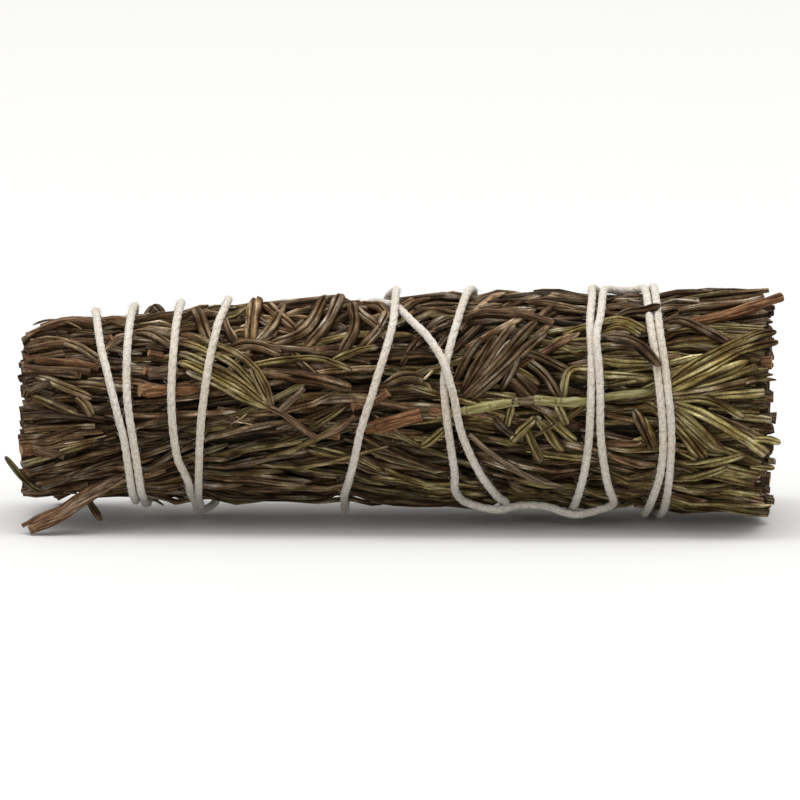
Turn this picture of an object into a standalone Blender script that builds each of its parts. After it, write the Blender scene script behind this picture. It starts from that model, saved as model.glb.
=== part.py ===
"""A hand-sized bundle of dried rosemary, tied round with one length of cotton string.

The bundle lies along X on the ground, Z = 0. The woody cut ends are at -X and the leafy
tips at +X. Twelve sprigs stand round the outside, six round the middle and one at the
heart. Each sprig is one solid: its woody stem, a slim pressed core and its needles.
Angles run round the axis: 0 faces -Y, 90 is the top, 180 faces +Y and -90 is underneath.
"""

import math
import random

import bmesh
import bpy
from mathutils import Vector

MM = 0.001

# Lengths below are in millimetres, and become metres in on_bundle() and in make_mesh().
# The bundle's shape: place along X, radius over the needles, height of the axis.
STATIONS = [
    (-57.0, 11.2, 14.9),
    (-50.0, 12.3, 16.3),
    (-42.0, 13.1, 17.1),
    (-28.0, 13.6, 17.9),
    (-13.0, 13.9, 18.3),
    (0.0, 14.5, 18.4),
    (15.0, 15.1, 18.2),
    (30.0, 15.55, 17.8),
    (45.0, 15.95, 17.7),
    (57.0, 16.2, 17.2),
]
CUT_END = -53.3
TIP_END = 54.6
LEFT_REACH = -56.4
RIGHT_REACH = 56.4

# How the sprigs share the bundle's round section, as shares of its radius.
OUTER_SPRIGS = 12
INNER_SPRIGS = 6
OUTER_FROM = 0.60
INNER_FROM = 0.22
INNER_TO = 0.55
HEART_TO = 0.17
NODE_GAP = 0.30

# A core stops short of the bundle's ends, so that stems and needles show there.
CORE_DEPTH = 2.0
CORE_STEP = 14.0
CORE_FROM = -48.5
CORE_TO = 48.5
CORE_END_SHARE = 0.55
CORE_END_TAPER = 3.5

NEEDLE_LENGTH = 15.6
NEEDLE_WIDTH = 1.5
NEEDLE_THICKNESS = 0.9
NEEDLE_SUNK = 0.7
WHORL_PITCH = 12.8
PROUD = 1.25
STRING_CLEAR = 2.15
END_TUFT_LENGTH = 11.0

STEM_RADIUS = 1.05
BARE_STEM_RADIUS = 0.75
STEM_SHOWS = 4.0

STRING_RADIUS = 0.675
STRING_GAP = 0.32
STRING_STEP = 5.0
KNOT_RADIUS = 1.5

SEED = 7

# The string's one unbroken route, pass by pass down the front of the bundle and up the
# back: angle in degrees, place along X, and how far it is lifted over what it crosses.
OVER_STRING = 1.55
OVER_TWIG = 1.8
STRING_PASSES = [
    [
        (168, -34.9, 0),
        (157, -38.0, 0),
        (145, -41.2, 0),
        (126, -43.0, 0),
        (100, -43.4, 0),
        (54, -42.6, 0),
        (27, -41.3, 0),
        (8, -40.3, 0),
        (-12, -39.5, 0.4),
        (-30, -38.9, OVER_TWIG),
        (-46, -38.5, OVER_TWIG),
        (-64, -38.3, 0.5),
        (-90, -38.2, 0),
        (-118, -38.2, 0.5),
        (-137, -38.2, OVER_TWIG),
        (-158, -38.1, 0.6),
        (-180, -38.0, 0.5),
        (-203, -38.0, OVER_STRING),
        (-226, -37.9, 0.5),
    ],
    [
        (100, -37.7, 0),
        (54, -38.4, 0),
        (27, -38.6, 0),
        (8, -38.5, 0),
        (-12, -37.9, 0.4),
        (-30, -37.2, OVER_TWIG),
        (-46, -36.8, OVER_TWIG),
        (-64, -36.5, 0.5),
        (-90, -36.3, 0),
        (-118, -35.3, 0.5),
        (-137, -34.7, OVER_TWIG),
        (-158, -34.0, 0.4),
        (-205, -32.6, 0),
    ],
    [
        (100, -30.9, 0),
        (54, -31.9, 0),
        (10, -32.1, 0),
        (-34, -31.1, 0),
        (-60, -30.2, 0),
        (-90, -29.3, 0),
        (-180, -26.9, 0),
    ],
    [
        (100, -24.2, 0),
        (54, -25.9, 0),
        (27, -27.0, 0),
        (-10, -27.9, 0),
        (-60, -28.3, 0),
        (-90, -27.0, 0),
        (-180, -12.5, 0),
    ],
    [
        (100, 0.4, 0),
        (54, -0.7, 0),
        (10, -2.9, 0),
        (-34, -5.3, 0),
        (-80, -6.8, 0),
        (-180, -6.2, 0),
        (-235, -4.3, 0),
    ],
    [
        (106, -2.6, 0.8),
        (91, -0.1, OVER_STRING),
        (75, 1.9, 0.6),
        (60, 3.7, 0),
        (42, 5.6, 0.6),
        (25, 7.5, OVER_STRING),
        (8, 9.0, 0.6),
        (-10, 10.0, 0),
        (-34, 12.2, 0),
        (-57, 14.8, 0),
        (-80, 16.4, 0),
        (-180, 14.2, 0),
    ],
    [
        (100, 11.4, 0),
        (60, 9.4, 0),
        (25, 7.4, 0),
        (5, 7.3, 0),
        (-34, 8.7, 0),
        (-54, 9.3, 0),
        (-62, 11.6, 0.7),
        (-57, 14.9, OVER_STRING),
        (-58, 18.3, 0.7),
        (-59, 22.2, 0.9),
        (-64, 26.2, OVER_STRING),
        (-66, 30.0, 0.9),
        (-58, 32.3, 0.2),
        (-38, 31.3, 0),
        (-10, 30.3, 0),
        (12, 30.1, 0),
        (40, 29.9, 0),
        (62, 30.5, 0),
        (88, 30.8, 0),
        (101, 32.0, 0),
        (104, 34.1, 0),
        (100, 36.1, 0),
        (84, 36.8, 0),
        (54, 37.2, 0),
        (24, 38.3, 0),
        (-5, 39.1, 0),
        (-28, 38.9, 0),
        (-60, 37.3, 0),
        (-90, 36.6, 0),
        (-180, 37.3, 0),
    ],
    [
        (100, 38.3, 0),
        (54, 38.8, 0),
        (24, 39.9, 0),
        (-5, 40.6, 0),
        (-30, 40.4, 0),
        (-60, 39.8, 0),
        (-85, 39.3, 0),
        (-104, 38.3, 0.6),
        (-122, 37.0, OVER_STRING),
        (-142, 35.8, 0.6),
        (-178, 33.9, 0.1),
        (-206, 32.3, OVER_STRING),
        (-228, 31.0, 0.5),
    ],
    [
        (100, 28.7, 0),
        (54, 28.4, 0),
        (24, 28.4, 0),
        (0, 28.5, 0),
        (-28, 27.5, 0),
        (-60, 26.1, 0),
        (-90, 25.6, 0),
        (-140, 26.0, 0),
        (-170, 28.0, 0),
        (-194, 30.2, 0),
        (-210, 33.2, 0),
        (-217, 35.2, 0),
    ],
]

# Where the string crosses its own two ends and is knotted there: (x, angle).
KNOTS = [(-38.0, 157), (32.3, 154)]

# The two bare twigs under the string, which the cut end stands on: (x, angle) where the
# string holds them, then free points down to the ground, and the radius at each point.
TWIGS = [
    (
        "twig_front",
        [(-32.5, -44), (-39.5, -44)],
        [(-45.0, -11.8, 4.9), (-52.4, -12.2, 0.85)],
        [0.45, 0.6, 1.2, 1.35],
    ),
    (
        "twig_back",
        [(-31.5, -135), (-39.5, -136)],
        [(-44.0, 11.4, 4.4), (-49.5, 11.8, 0.75)],
        [0.45, 0.6, 1.1, 1.25],
    ),
]

COLOURS = {
    "brown_needles": (0.115, 0.082, 0.055),
    "green_needles": (0.150, 0.142, 0.062),
    "bark": (0.215, 0.115, 0.062),
    "cotton": (0.78, 0.74, 0.66),
}
LOWEST_SPRIG = 10
BROWN_OUTER_SPRIGS = (2, 3, 4, 6, 8, 9)


def between(stations, x):
    """The values of the stations at x, on one smooth curve through them."""
    last = len(stations) - 1
    i = max(0, min(last - 1, sum(1 for s in stations if s[0] <= x) - 1))
    a, b = stations[i], stations[i + 1]
    before, after = stations[max(0, i - 1)], stations[min(last, i + 2)]
    run = b[0] - a[0]
    t = (x - a[0]) / run
    values = []
    for k in range(1, len(a)):
        slope_a = (b[k] - before[k]) / (b[0] - before[0]) * run
        slope_b = (after[k] - a[k]) / (after[0] - a[0]) * run
        values.append(
            (2 * t**3 - 3 * t**2 + 1) * a[k]
            + (t**3 - 2 * t**2 + t) * slope_a
            + (3 * t**2 - 2 * t**3) * b[k]
            + (t**3 - t**2) * slope_b
        )
    return values


def radius_at(x):
    return between(STATIONS, x)[0]


def on_bundle(x, degrees, radius):
    """The point at this radius from the bundle's axis, in metres."""
    height = between(STATIONS, x)[1]
    angle = math.radians(degrees)
    return Vector((x, -radius * math.cos(angle), height + radius * math.sin(angle))) * MM


def clear_scene():
    for obj in list(bpy.data.objects):
        bpy.data.objects.remove(obj)


def new_collection(name, hidden=False):
    made = bpy.data.collections.new(name)
    made.hide_render = hidden
    bpy.context.scene.collection.children.link(made)
    return made


def material(slot, roughness=0.85):
    found = bpy.data.materials.get(slot)
    if found:
        return found
    made = bpy.data.materials.new(slot)
    made.use_nodes = True
    shader = made.node_tree.nodes["Principled BSDF"]
    shader.inputs["Base Color"].default_value = (*COLOURS[slot], 1)
    shader.inputs["Roughness"].default_value = roughness
    shader.inputs["Metallic"].default_value = 0
    return made


def loft(name, rings, collection):
    """A closed solid through rings of points that run the same way round, capped at both ends."""
    bm = bmesh.new()
    made = [[bm.verts.new(p) for p in ring] for ring in rings]
    sides = len(rings[0])
    for near, far in zip(made, made[1:]):
        for i in range(sides):
            j = (i + 1) % sides
            bm.faces.new((near[i], near[j], far[j], far[i]))
    bm.faces.new(made[0][::-1])
    bm.faces.new(made[-1])
    bmesh.ops.remove_doubles(bm, verts=bm.verts, dist=0.00001)
    bmesh.ops.recalc_face_normals(bm, faces=bm.faces)
    bmesh.ops.triangulate(bm, faces=bm.faces)
    mesh = bpy.data.meshes.new(name)
    bm.to_mesh(mesh)
    bm.free()
    obj = bpy.data.objects.new(name, mesh)
    collection.objects.link(obj)
    return obj


def tube(name, points, radii, resolution, collection):
    """A curve object that runs through the points, with its ends filled."""
    curve = bpy.data.curves.new(name, "CURVE")
    curve.dimensions = "3D"
    curve.bevel_depth = 1.0
    curve.bevel_resolution = resolution
    curve.use_fill_caps = True
    spline = curve.splines.new("POLY")
    spline.points.add(len(points) - 1)
    for place, point, radius in zip(spline.points, points, radii):
        place.co = (*point, 1)
        place.radius = radius * MM
    obj = bpy.data.objects.new(name, curve)
    collection.objects.link(obj)
    return obj


def made_mesh(obj, collection):
    """The tube as a mesh object of the same name, with its caps welded on."""
    graph = bpy.context.evaluated_depsgraph_get()
    mesh = bpy.data.meshes.new_from_object(obj.evaluated_get(graph))
    bm = bmesh.new()
    bm.from_mesh(mesh)
    bmesh.ops.remove_doubles(bm, verts=bm.verts, dist=0.00001)
    bmesh.ops.recalc_face_normals(bm, faces=bm.faces)
    bm.to_mesh(mesh)
    bm.free()
    name = obj.name
    place = obj.matrix_world.copy()
    bpy.data.objects.remove(obj)
    made = bpy.data.objects.new(name, mesh)
    made.matrix_world = place
    collection.objects.link(made)
    return made


def apply_modifiers(obj):
    graph = bpy.context.evaluated_depsgraph_get()
    mesh = bpy.data.meshes.new_from_object(obj.evaluated_get(graph))
    obj.modifiers.clear()
    obj.data = mesh


def fuse(obj, pieces, solver="MANIFOLD"):
    """Joins all the pieces of a collection into obj, and empties the collection."""
    join = obj.modifiers.new("fuse", "BOOLEAN")
    join.operand_type = "COLLECTION"
    join.collection = pieces
    join.operation = "UNION"
    join.solver = solver
    apply_modifiers(obj)
    for piece in list(pieces.objects):
        bpy.data.objects.remove(piece)


def keep_largest_body(obj):
    """Drops any loose scrap that a cut has left."""
    bm = bmesh.new()
    bm.from_mesh(obj.data)
    left = set(bm.verts)
    bodies = []
    while left:
        body = set()
        front = [left.pop()]
        while front:
            vert = front.pop()
            body.add(vert)
            for edge in vert.link_edges:
                other = edge.other_vert(vert)
                if other in left:
                    left.remove(other)
                    front.append(other)
        bodies.append(body)
    bodies.sort(key=len)
    scraps = [vert for body in bodies[:-1] for vert in body]
    bmesh.ops.delete(bm, geom=scraps, context="VERTS")
    bm.to_mesh(obj.data)
    bm.free()


def cut_at_ground(obj, ground):
    """Presses flat whatever would reach under the ground."""
    cut = obj.modifiers.new("ground", "BOOLEAN")
    cut.object = ground
    cut.operation = "DIFFERENCE"
    cut.solver = "MANIFOLD"
    apply_modifiers(obj)
    keep_largest_body(obj)


def ground_cutter(collection):
    bpy.ops.mesh.primitive_cube_add(size=1, location=(0, 0, -0.01))
    ground = bpy.context.object
    ground.name = "ground"
    ground.scale = (0.2, 0.1, 0.02)
    bpy.ops.object.transform_apply(location=True, rotation=False, scale=True)
    ground.display_type = "WIRE"
    ground.hide_render = True
    for other in list(ground.users_collection):
        other.objects.unlink(ground)
    collection.objects.link(ground)
    return ground


class Cell:
    """The share of the bundle's section that one sprig fills: a sector between two radii."""

    def __init__(self, middle, half_width, inner_share, outer_share, depth):
        self.middle = middle
        self.half_width = half_width
        self.inner_share = inner_share
        self.outer_share = outer_share
        self.depth = depth

    def core_ring(self, x, share=1.0):
        """The core's section at x. A share under 1 draws it in round the stem."""
        radius = radius_at(x)
        inner = self.inner_share * radius
        outer = self.outer_share * radius - self.depth
        corners = []
        for r, side in ((inner, -1), (outer, -1), (outer + 0.15, 0), (outer, 1), (inner, 1)):
            slack = math.degrees(NODE_GAP / 2 / max(r, 1))
            corners.append(on_bundle(x, self.middle + side * (self.half_width - slack), r))
        stem = self.stem_point(x)
        return [stem + (corner - stem) * share for corner in corners]

    def stem_radius_place(self, x):
        radius = radius_at(x)
        return (self.inner_share * radius + self.outer_share * radius - self.depth) / 2

    def stem_point(self, x):
        return on_bundle(x, self.middle, self.stem_radius_place(x))

    def surface(self, x, sideways, depth):
        """A point this far sideways from the cell's middle and this deep under the needles' tops."""
        radius = self.outer_share * radius_at(x)
        return on_bundle(x, self.middle + math.degrees(sideways / radius), radius - depth)

    def side_reach(self, x):
        """How far sideways the middle of a needle may lie here."""
        arc = math.radians(self.half_width) * (self.outer_share * radius_at(x) - CORE_DEPTH)
        return arc - NEEDLE_WIDTH / 2 - NODE_GAP / 2 - 0.05


def proud(cell, near, far):
    """How far a needle may stand out between two places: not at all where the string runs."""
    checks = 5
    for i in range(checks):
        share = i / (checks - 1)
        x = near[0] + (far[0] - near[0]) * share
        sideways = near[1] + (far[1] - near[1]) * share
        radius = radius_at(x)
        degrees = cell.middle + math.degrees(sideways / radius)
        for held_x, held_degrees in WINDINGS:
            if abs(held_x - x) > STRING_CLEAR:
                continue
            turn = (held_degrees - degrees + 180) % 360 - 180
            if math.hypot(held_x - x, math.radians(turn) * radius) < STRING_CLEAR:
                return 0
    return PROUD


def needle(cell, places, blunt, pieces):
    """One three-sided needle along places of (x, sideways, depth), its root first.

    It ends in a point, or with a cut end where the bundle was trimmed.
    """
    rings = []
    for i, (x, sideways, depth) in enumerate(places):
        share = 1.0
        if i == 0:
            share = 0.7
        if i == len(places) - 1:
            share = 0.9 if blunt else 0.0
        half = NEEDLE_WIDTH / 2 * share
        thick = NEEDLE_THICKNESS * share
        rings.append(
            [
                cell.surface(x, sideways - half, depth + thick),
                cell.surface(x, sideways + half, depth + thick),
                cell.surface(x, sideways, depth),
            ]
        )
    return loft("needle", rings, pieces)


def whorl(cell, x, toward, sides, length, rng, pieces):
    """Needles from one place on the sprig, fanned over its cell, shingled over the next ones."""
    root_depth = CORE_DEPTH + NEEDLE_SUNK
    for side in sides:
        reach = length * rng.uniform(0.88, 1.08)
        tip_x = x + toward * reach
        stop = TIP_END if toward > 0 else CUT_END
        stop += rng.uniform(-0.7, 0.4)
        blunt = (tip_x - stop) * toward > 0
        share = 1.0
        if blunt:
            share = (stop - x) / (tip_x - x)
            tip_x = stop
        if share < 0.25:
            continue
        wander = rng.uniform(-0.12, 0.12)
        tip_side = max(-1, min(1, (side + wander) * (0.35 + 0.65 * share)))
        middle_x = (x + tip_x) / 2
        root_side = 0.35 * side * cell.side_reach(x)
        end_side = tip_side * cell.side_reach(tip_x)
        middle_side = (root_side + end_side) / 2
        rise = proud(cell, (middle_x, middle_side), (tip_x, end_side))
        end_depth = rng.uniform(0.0, 0.35) + 2.2 * (1 - share) - rise
        rise = min(rise, proud(cell, (x * 0.6 + middle_x * 0.4, root_side), (middle_x, middle_side)))
        middle_depth = (root_depth + max(end_depth, 0)) / 2 - 0.35 - 0.6 * rise
        places = [
            (x, root_side, root_depth),
            (middle_x, middle_side, middle_depth),
            (tip_x, end_side, end_depth),
        ]
        needle(cell, places, blunt, pieces)


def core(name, cell, collection):
    """The slim pressed core that a sprig's needles are rooted in."""
    steps = round((CORE_TO - CORE_FROM - 2 * CORE_END_TAPER) / CORE_STEP)
    first = CORE_FROM + CORE_END_TAPER
    last = CORE_TO - CORE_END_TAPER
    rings = [cell.core_ring(CORE_FROM, CORE_END_SHARE)]
    for i in range(steps + 1):
        rings.append(cell.core_ring(first + (last - first) * i / steps))
    rings.append(cell.core_ring(CORE_TO, CORE_END_SHARE))
    return loft(name, rings, collection)


def stem_ends(cell, toward, rng, pieces):
    """The woody stem where it shows: cut off at its foot, and thinner at the tip end."""
    foot = CUT_END + rng.uniform(-0.5, 0.7) if toward > 0 else TIP_END - rng.uniform(0.2, 1.2)
    inside = foot + toward * (STEM_SHOWS + 6)
    points = [cell.stem_point(foot), cell.stem_point(inside)]
    radii = [STEM_RADIUS * rng.uniform(0.85, 1.15), STEM_RADIUS]
    stem = tube("stem", points, radii, 1, pieces)
    made_mesh(stem, pieces)


def bare_stem(cell, places, radius, pieces):
    """A stretch of leafless stem that lies on top of the sprig's own needles."""
    points = [cell.surface(*place) for place in places]
    stem = tube("bare_stem", points, [radius] * len(points), 1, pieces)
    made_mesh(stem, pieces)


def outer_sprig(index, collection, pieces, ground):
    """One of the sprigs round the outside. Sprig 1 faces the front, and they count upwards."""
    rng = random.Random(SEED * 100 + index)
    middle = 360 / OUTER_SPRIGS * (index - 1)
    cell = Cell(middle, 180 / OUTER_SPRIGS, OUTER_FROM, 1.0, CORE_DEPTH)
    toward = -1 if index in (2, 6, 9) else 1
    obj = core(f"sprig_{index:02d}", cell, collection)
    stem_ends(cell, toward, rng, pieces)
    x = CORE_FROM + 1.5 if toward > 0 else CORE_TO - 1.5
    four = (-1.0, -0.35, 0.35, 1.0)
    three = (-0.7, 0.0, 0.7)
    whorl(cell, x + toward * 5.5, -toward, four, END_TUFT_LENGTH, rng, pieces)
    count = 0
    while CORE_FROM < x < CORE_TO:
        sides = four if count % 2 == 0 else three
        if index == 1 and 0 < x < 32:
            sides = (-1.0, 1.0)
        if index == 1 and x > 32:
            sides = (-1.0, -0.5, 0.0, 0.5, 1.0)
        whorl(cell, x, toward, sides, NEEDLE_LENGTH, rng, pieces)
        x += toward * WHORL_PITCH * rng.uniform(0.92, 1.05)
        count += 1
    if index == 1:
        stem = [(2.5, -1.6, 2.9), (6, -1.2, 0.9), (14, -0.6, 0.8), (24, 0.0, 0.8), (33, 0.2, 2.9)]
        bare_stem(cell, stem, BARE_STEM_RADIUS, pieces)
        needle(cell, [(45, -2.6, 2.7), (50, -2.7, 0.9), (RIGHT_REACH, -2.8, 0.4)], True, pieces)
    if index == OUTER_SPRIGS:
        needle(cell, [(-47, -1.4, 2.9), (-53, -2.2, 0.9), (LEFT_REACH, -0.2, 1.2)], False, pieces)
    if index == LOWEST_SPRIG:
        for sideways in (-1.9, 0, 1.9):
            low = [(42.6, sideways * 0.6, 2.7), (48.0, sideways, -1.7), (54.0, sideways, -1.8)]
            needle(cell, low, True, pieces)
    fuse(obj, pieces)
    if middle in (240, 270, 300):
        cut_at_ground(obj, ground)
    keep_largest_body(obj)
    slot = "brown_needles" if index in BROWN_OUTER_SPRIGS else "green_needles"
    obj.data.materials.clear()
    obj.data.materials.append(material(slot))


def inner_sprig(number, cell, collection, pieces):
    """A sprig inside the bundle, of which only the ends show."""
    rng = random.Random(SEED * 100 + number)
    toward = 1 if number % 3 else -1
    obj = core(f"sprig_{number:02d}", cell, collection)
    stem_ends(cell, toward, rng, pieces)
    for end, x in ((1, CORE_TO - 6.5), (-1, CORE_FROM + 6.5)):
        inner_tuft(cell, x, end, rng, pieces)
    fuse(obj, pieces)
    keep_largest_body(obj)
    obj.data.materials.clear()
    obj.data.materials.append(material("brown_needles" if toward > 0 else "green_needles"))


def inner_tuft(cell, x, end, rng, pieces):
    """Needle ends that stand out of an inner sprig's core at one end of the bundle."""
    stop = TIP_END if end > 0 else CUT_END
    root = cell.stem_point(x)
    for corner in cell.core_ring(x, 0.62)[1:4]:
        reach = stop + end * rng.uniform(-1.2, 0.3)
        drift = (corner - root) * rng.uniform(0.75, 1.0)
        far = cell.stem_point(reach) + drift
        near = root + drift * 0.6
        across = Vector((0, drift.z, -drift.y)).normalized() * NEEDLE_WIDTH / 2 * MM
        out = drift.normalized() * NEEDLE_THICKNESS * MM
        rings = []
        for point in (near, far):
            rings.append([point - across, point + across, point + out])
        loft("needle", rings, pieces)


def inner_sprigs(collection, pieces):
    number = OUTER_SPRIGS
    for i in range(INNER_SPRIGS):
        number += 1
        cell = Cell(360 / INNER_SPRIGS * (i + 0.5), 180 / INNER_SPRIGS, INNER_FROM, INNER_TO, 0)
        inner_sprig(number, cell, collection, pieces)
    heart_sprig(number + 1, collection, pieces)


def heart_sprig(number, collection, pieces):
    """The sprig at the heart, a straight one with a round core."""
    xs = [CUT_END - 0.4, CORE_FROM, -20, 15, CORE_TO, TIP_END - 0.5]
    points = [on_bundle(x, 0, 0) for x in xs]
    radii = [1.1, HEART_TO * 13, HEART_TO * 14, HEART_TO * 15, HEART_TO * 15, 1.1]
    stem = tube(f"sprig_{number:02d}", points, radii, 1, pieces)
    obj = made_mesh(stem, collection)
    obj.data.materials.append(material("bark"))


def twig(name, held, foot, radii, collection, pieces, ground):
    """A bare woody stub held under the string, whose torn end stands on the ground."""
    points = []
    for (x, degrees), radius in zip(held, radii):
        points.append(on_bundle(x, degrees, radius_at(x) + NODE_GAP + 0.1 + radius))
    points += [Vector(place) * MM for place in foot]
    obj = made_mesh(tube(name, points, radii, 1, pieces), collection)
    run = (points[-1] - points[-2]).normalized()
    torn_points = [points[-1] - run * 2.5 * MM, points[-1] + run * 1.0 * MM + Vector((0, 0, 0.75)) * MM]
    made_mesh(tube("torn", torn_points, [0.9, 0.35], 1, pieces), pieces)
    fuse(obj, pieces)
    cut_at_ground(obj, ground)
    obj.data.materials.clear()
    obj.data.materials.append(material("bark"))


def string_route(step):
    """The string as (x, angle, lift), smoothly through the passes, a turn lower each time."""
    knots = []
    for turn, one_pass in enumerate(STRING_PASSES):
        knots += [(x, degrees - 360 * turn, lift) for degrees, x, lift in one_pass]
    places = []
    last = len(knots) - 1
    for i in range(last):
        a, b = knots[i], knots[i + 1]
        before, after = knots[max(0, i - 1)], knots[min(last, i + 2)]
        arc = math.radians(abs(a[1] - b[1])) * radius_at(a[0])
        steps = max(1, math.ceil(math.hypot(arc, a[0] - b[0]) / step))
        places += [eased(before, a, b, after, k / steps) for k in range(steps)]
    places.append(list(knots[last]))
    return places


def eased(before, a, b, after, t):
    """A point of the smooth line between a and b, which leaves a as it comes from before."""
    made = []
    for p, q, r, s in zip(before, a, b, after):
        curve = 2 * q + (r - p) * t + (2 * p - 5 * q + 4 * r - s) * t**2 + (3 * q - p - 3 * r + s) * t**3
        made.append(curve / 2)
    return made


def string_point(place):
    x, degrees, lift = place
    return on_bundle(x, degrees, radius_at(x) + STRING_GAP + STRING_RADIUS + max(0, lift))


def cotton_string(collection, pieces):
    points = [string_point(place) for place in string_route(STRING_STEP)]
    obj = made_mesh(tube("cotton_string", points, [STRING_RADIUS] * len(points), 1, pieces), collection)
    for x, degrees in KNOTS:
        spot = string_point((x, degrees, OVER_STRING / 2))
        bpy.ops.mesh.primitive_uv_sphere_add(segments=10, ring_count=6, radius=KNOT_RADIUS * MM, location=spot)
        knot = bpy.context.object
        for other in list(knot.users_collection):
            other.objects.unlink(knot)
        pieces.objects.link(knot)
    fuse(obj, pieces)
    obj.data.materials.clear()
    obj.data.materials.append(material("cotton"))


WINDINGS = [(place[0], place[1]) for place in string_route(1.5)]
for held in TWIGS:
    (start_x, start_angle), (end_x, end_angle) = held[1]
    for i in range(9):
        WINDINGS.append((start_x + (end_x - start_x) * i / 6, start_angle))


def main():
    clear_scene()
    bundle = new_collection("rosemary_bundle")
    cutters = new_collection("cutters", hidden=True)
    pieces = new_collection("pieces", hidden=True)
    ground = ground_cutter(cutters)
    for index in range(1, OUTER_SPRIGS + 1):
        outer_sprig(index, bundle, pieces, ground)
    inner_sprigs(bundle, pieces)
    for name, held, foot, radii in TWIGS:
        twig(name, held, foot, radii, bundle, pieces, ground)
    cotton_string(bundle, pieces)


main()
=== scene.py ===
import math
import random

import bmesh
import bpy
import numpy as np
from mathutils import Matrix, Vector


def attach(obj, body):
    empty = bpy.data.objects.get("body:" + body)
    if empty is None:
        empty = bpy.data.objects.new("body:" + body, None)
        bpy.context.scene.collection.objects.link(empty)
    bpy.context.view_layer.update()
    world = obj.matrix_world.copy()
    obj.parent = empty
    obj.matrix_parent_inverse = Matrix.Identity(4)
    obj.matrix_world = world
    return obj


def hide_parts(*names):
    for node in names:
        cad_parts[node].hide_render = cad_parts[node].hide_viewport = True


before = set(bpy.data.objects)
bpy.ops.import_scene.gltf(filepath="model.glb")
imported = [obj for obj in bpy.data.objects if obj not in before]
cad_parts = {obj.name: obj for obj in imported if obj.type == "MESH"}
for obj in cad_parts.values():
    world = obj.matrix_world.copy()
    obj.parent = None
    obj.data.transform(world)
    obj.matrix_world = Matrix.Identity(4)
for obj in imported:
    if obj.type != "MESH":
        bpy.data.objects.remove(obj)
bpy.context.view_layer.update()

bpy.ops.object.select_all(action="DESELECT")

# the whole bundle, in mm: shape holds places along X, the radius there and the height of the axis
bundle = {
    "shape": [
        (-57.0, 11.2, 14.9),
        (-50.0, 12.3, 16.3),
        (-42.0, 13.1, 17.1),
        (-28.0, 13.6, 17.9),
        (-13.0, 13.9, 18.3),
        (0.0, 14.5, 18.4),
        (15.0, 15.1, 18.2),
        (30.0, 15.55, 17.8),
        (45.0, 15.95, 17.7),
        (57.0, 16.2, 17.2),
    ],
    "cutEnd": -53.6,
    "leafEnd": 54.6,
    "swell": 0.85,         # how far the needles stand out between the turns of string
    "swellFrom": 0.5,      # distance from the string where they start to, and where they do fully
    "swellTo": 3.6,
    "swellLift": 0.8,      # how far the needles under a lifted string follow it
    "linkX": (31.6, 36.6),     # the string's short bend on the top, and how far they rise under it
    "linkAngle": 101,
    "linkRise": 0.5,
    "twigX": (-32.5, -39.7),   # where the two torn strips of bark press the needles down
    "twigAngles": (-44, -136),
    "mapFrom": -60,        # the grid that the swell is kept on: its start, steps along and round
    "mapStep": 0.5,
    "mapTurn": 2.0,
    "uneven": 0.3,
    "sagClear": 1.1,       # how near to the floor the underside sags
    "sagAngle": -104,
    "sagWidth": 20,
    "sagFrom": (-41, -33),
    "laneRadius": 14.6,    # the radius that the needles' lanes are counted on
    "seed": 5,
}

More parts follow.
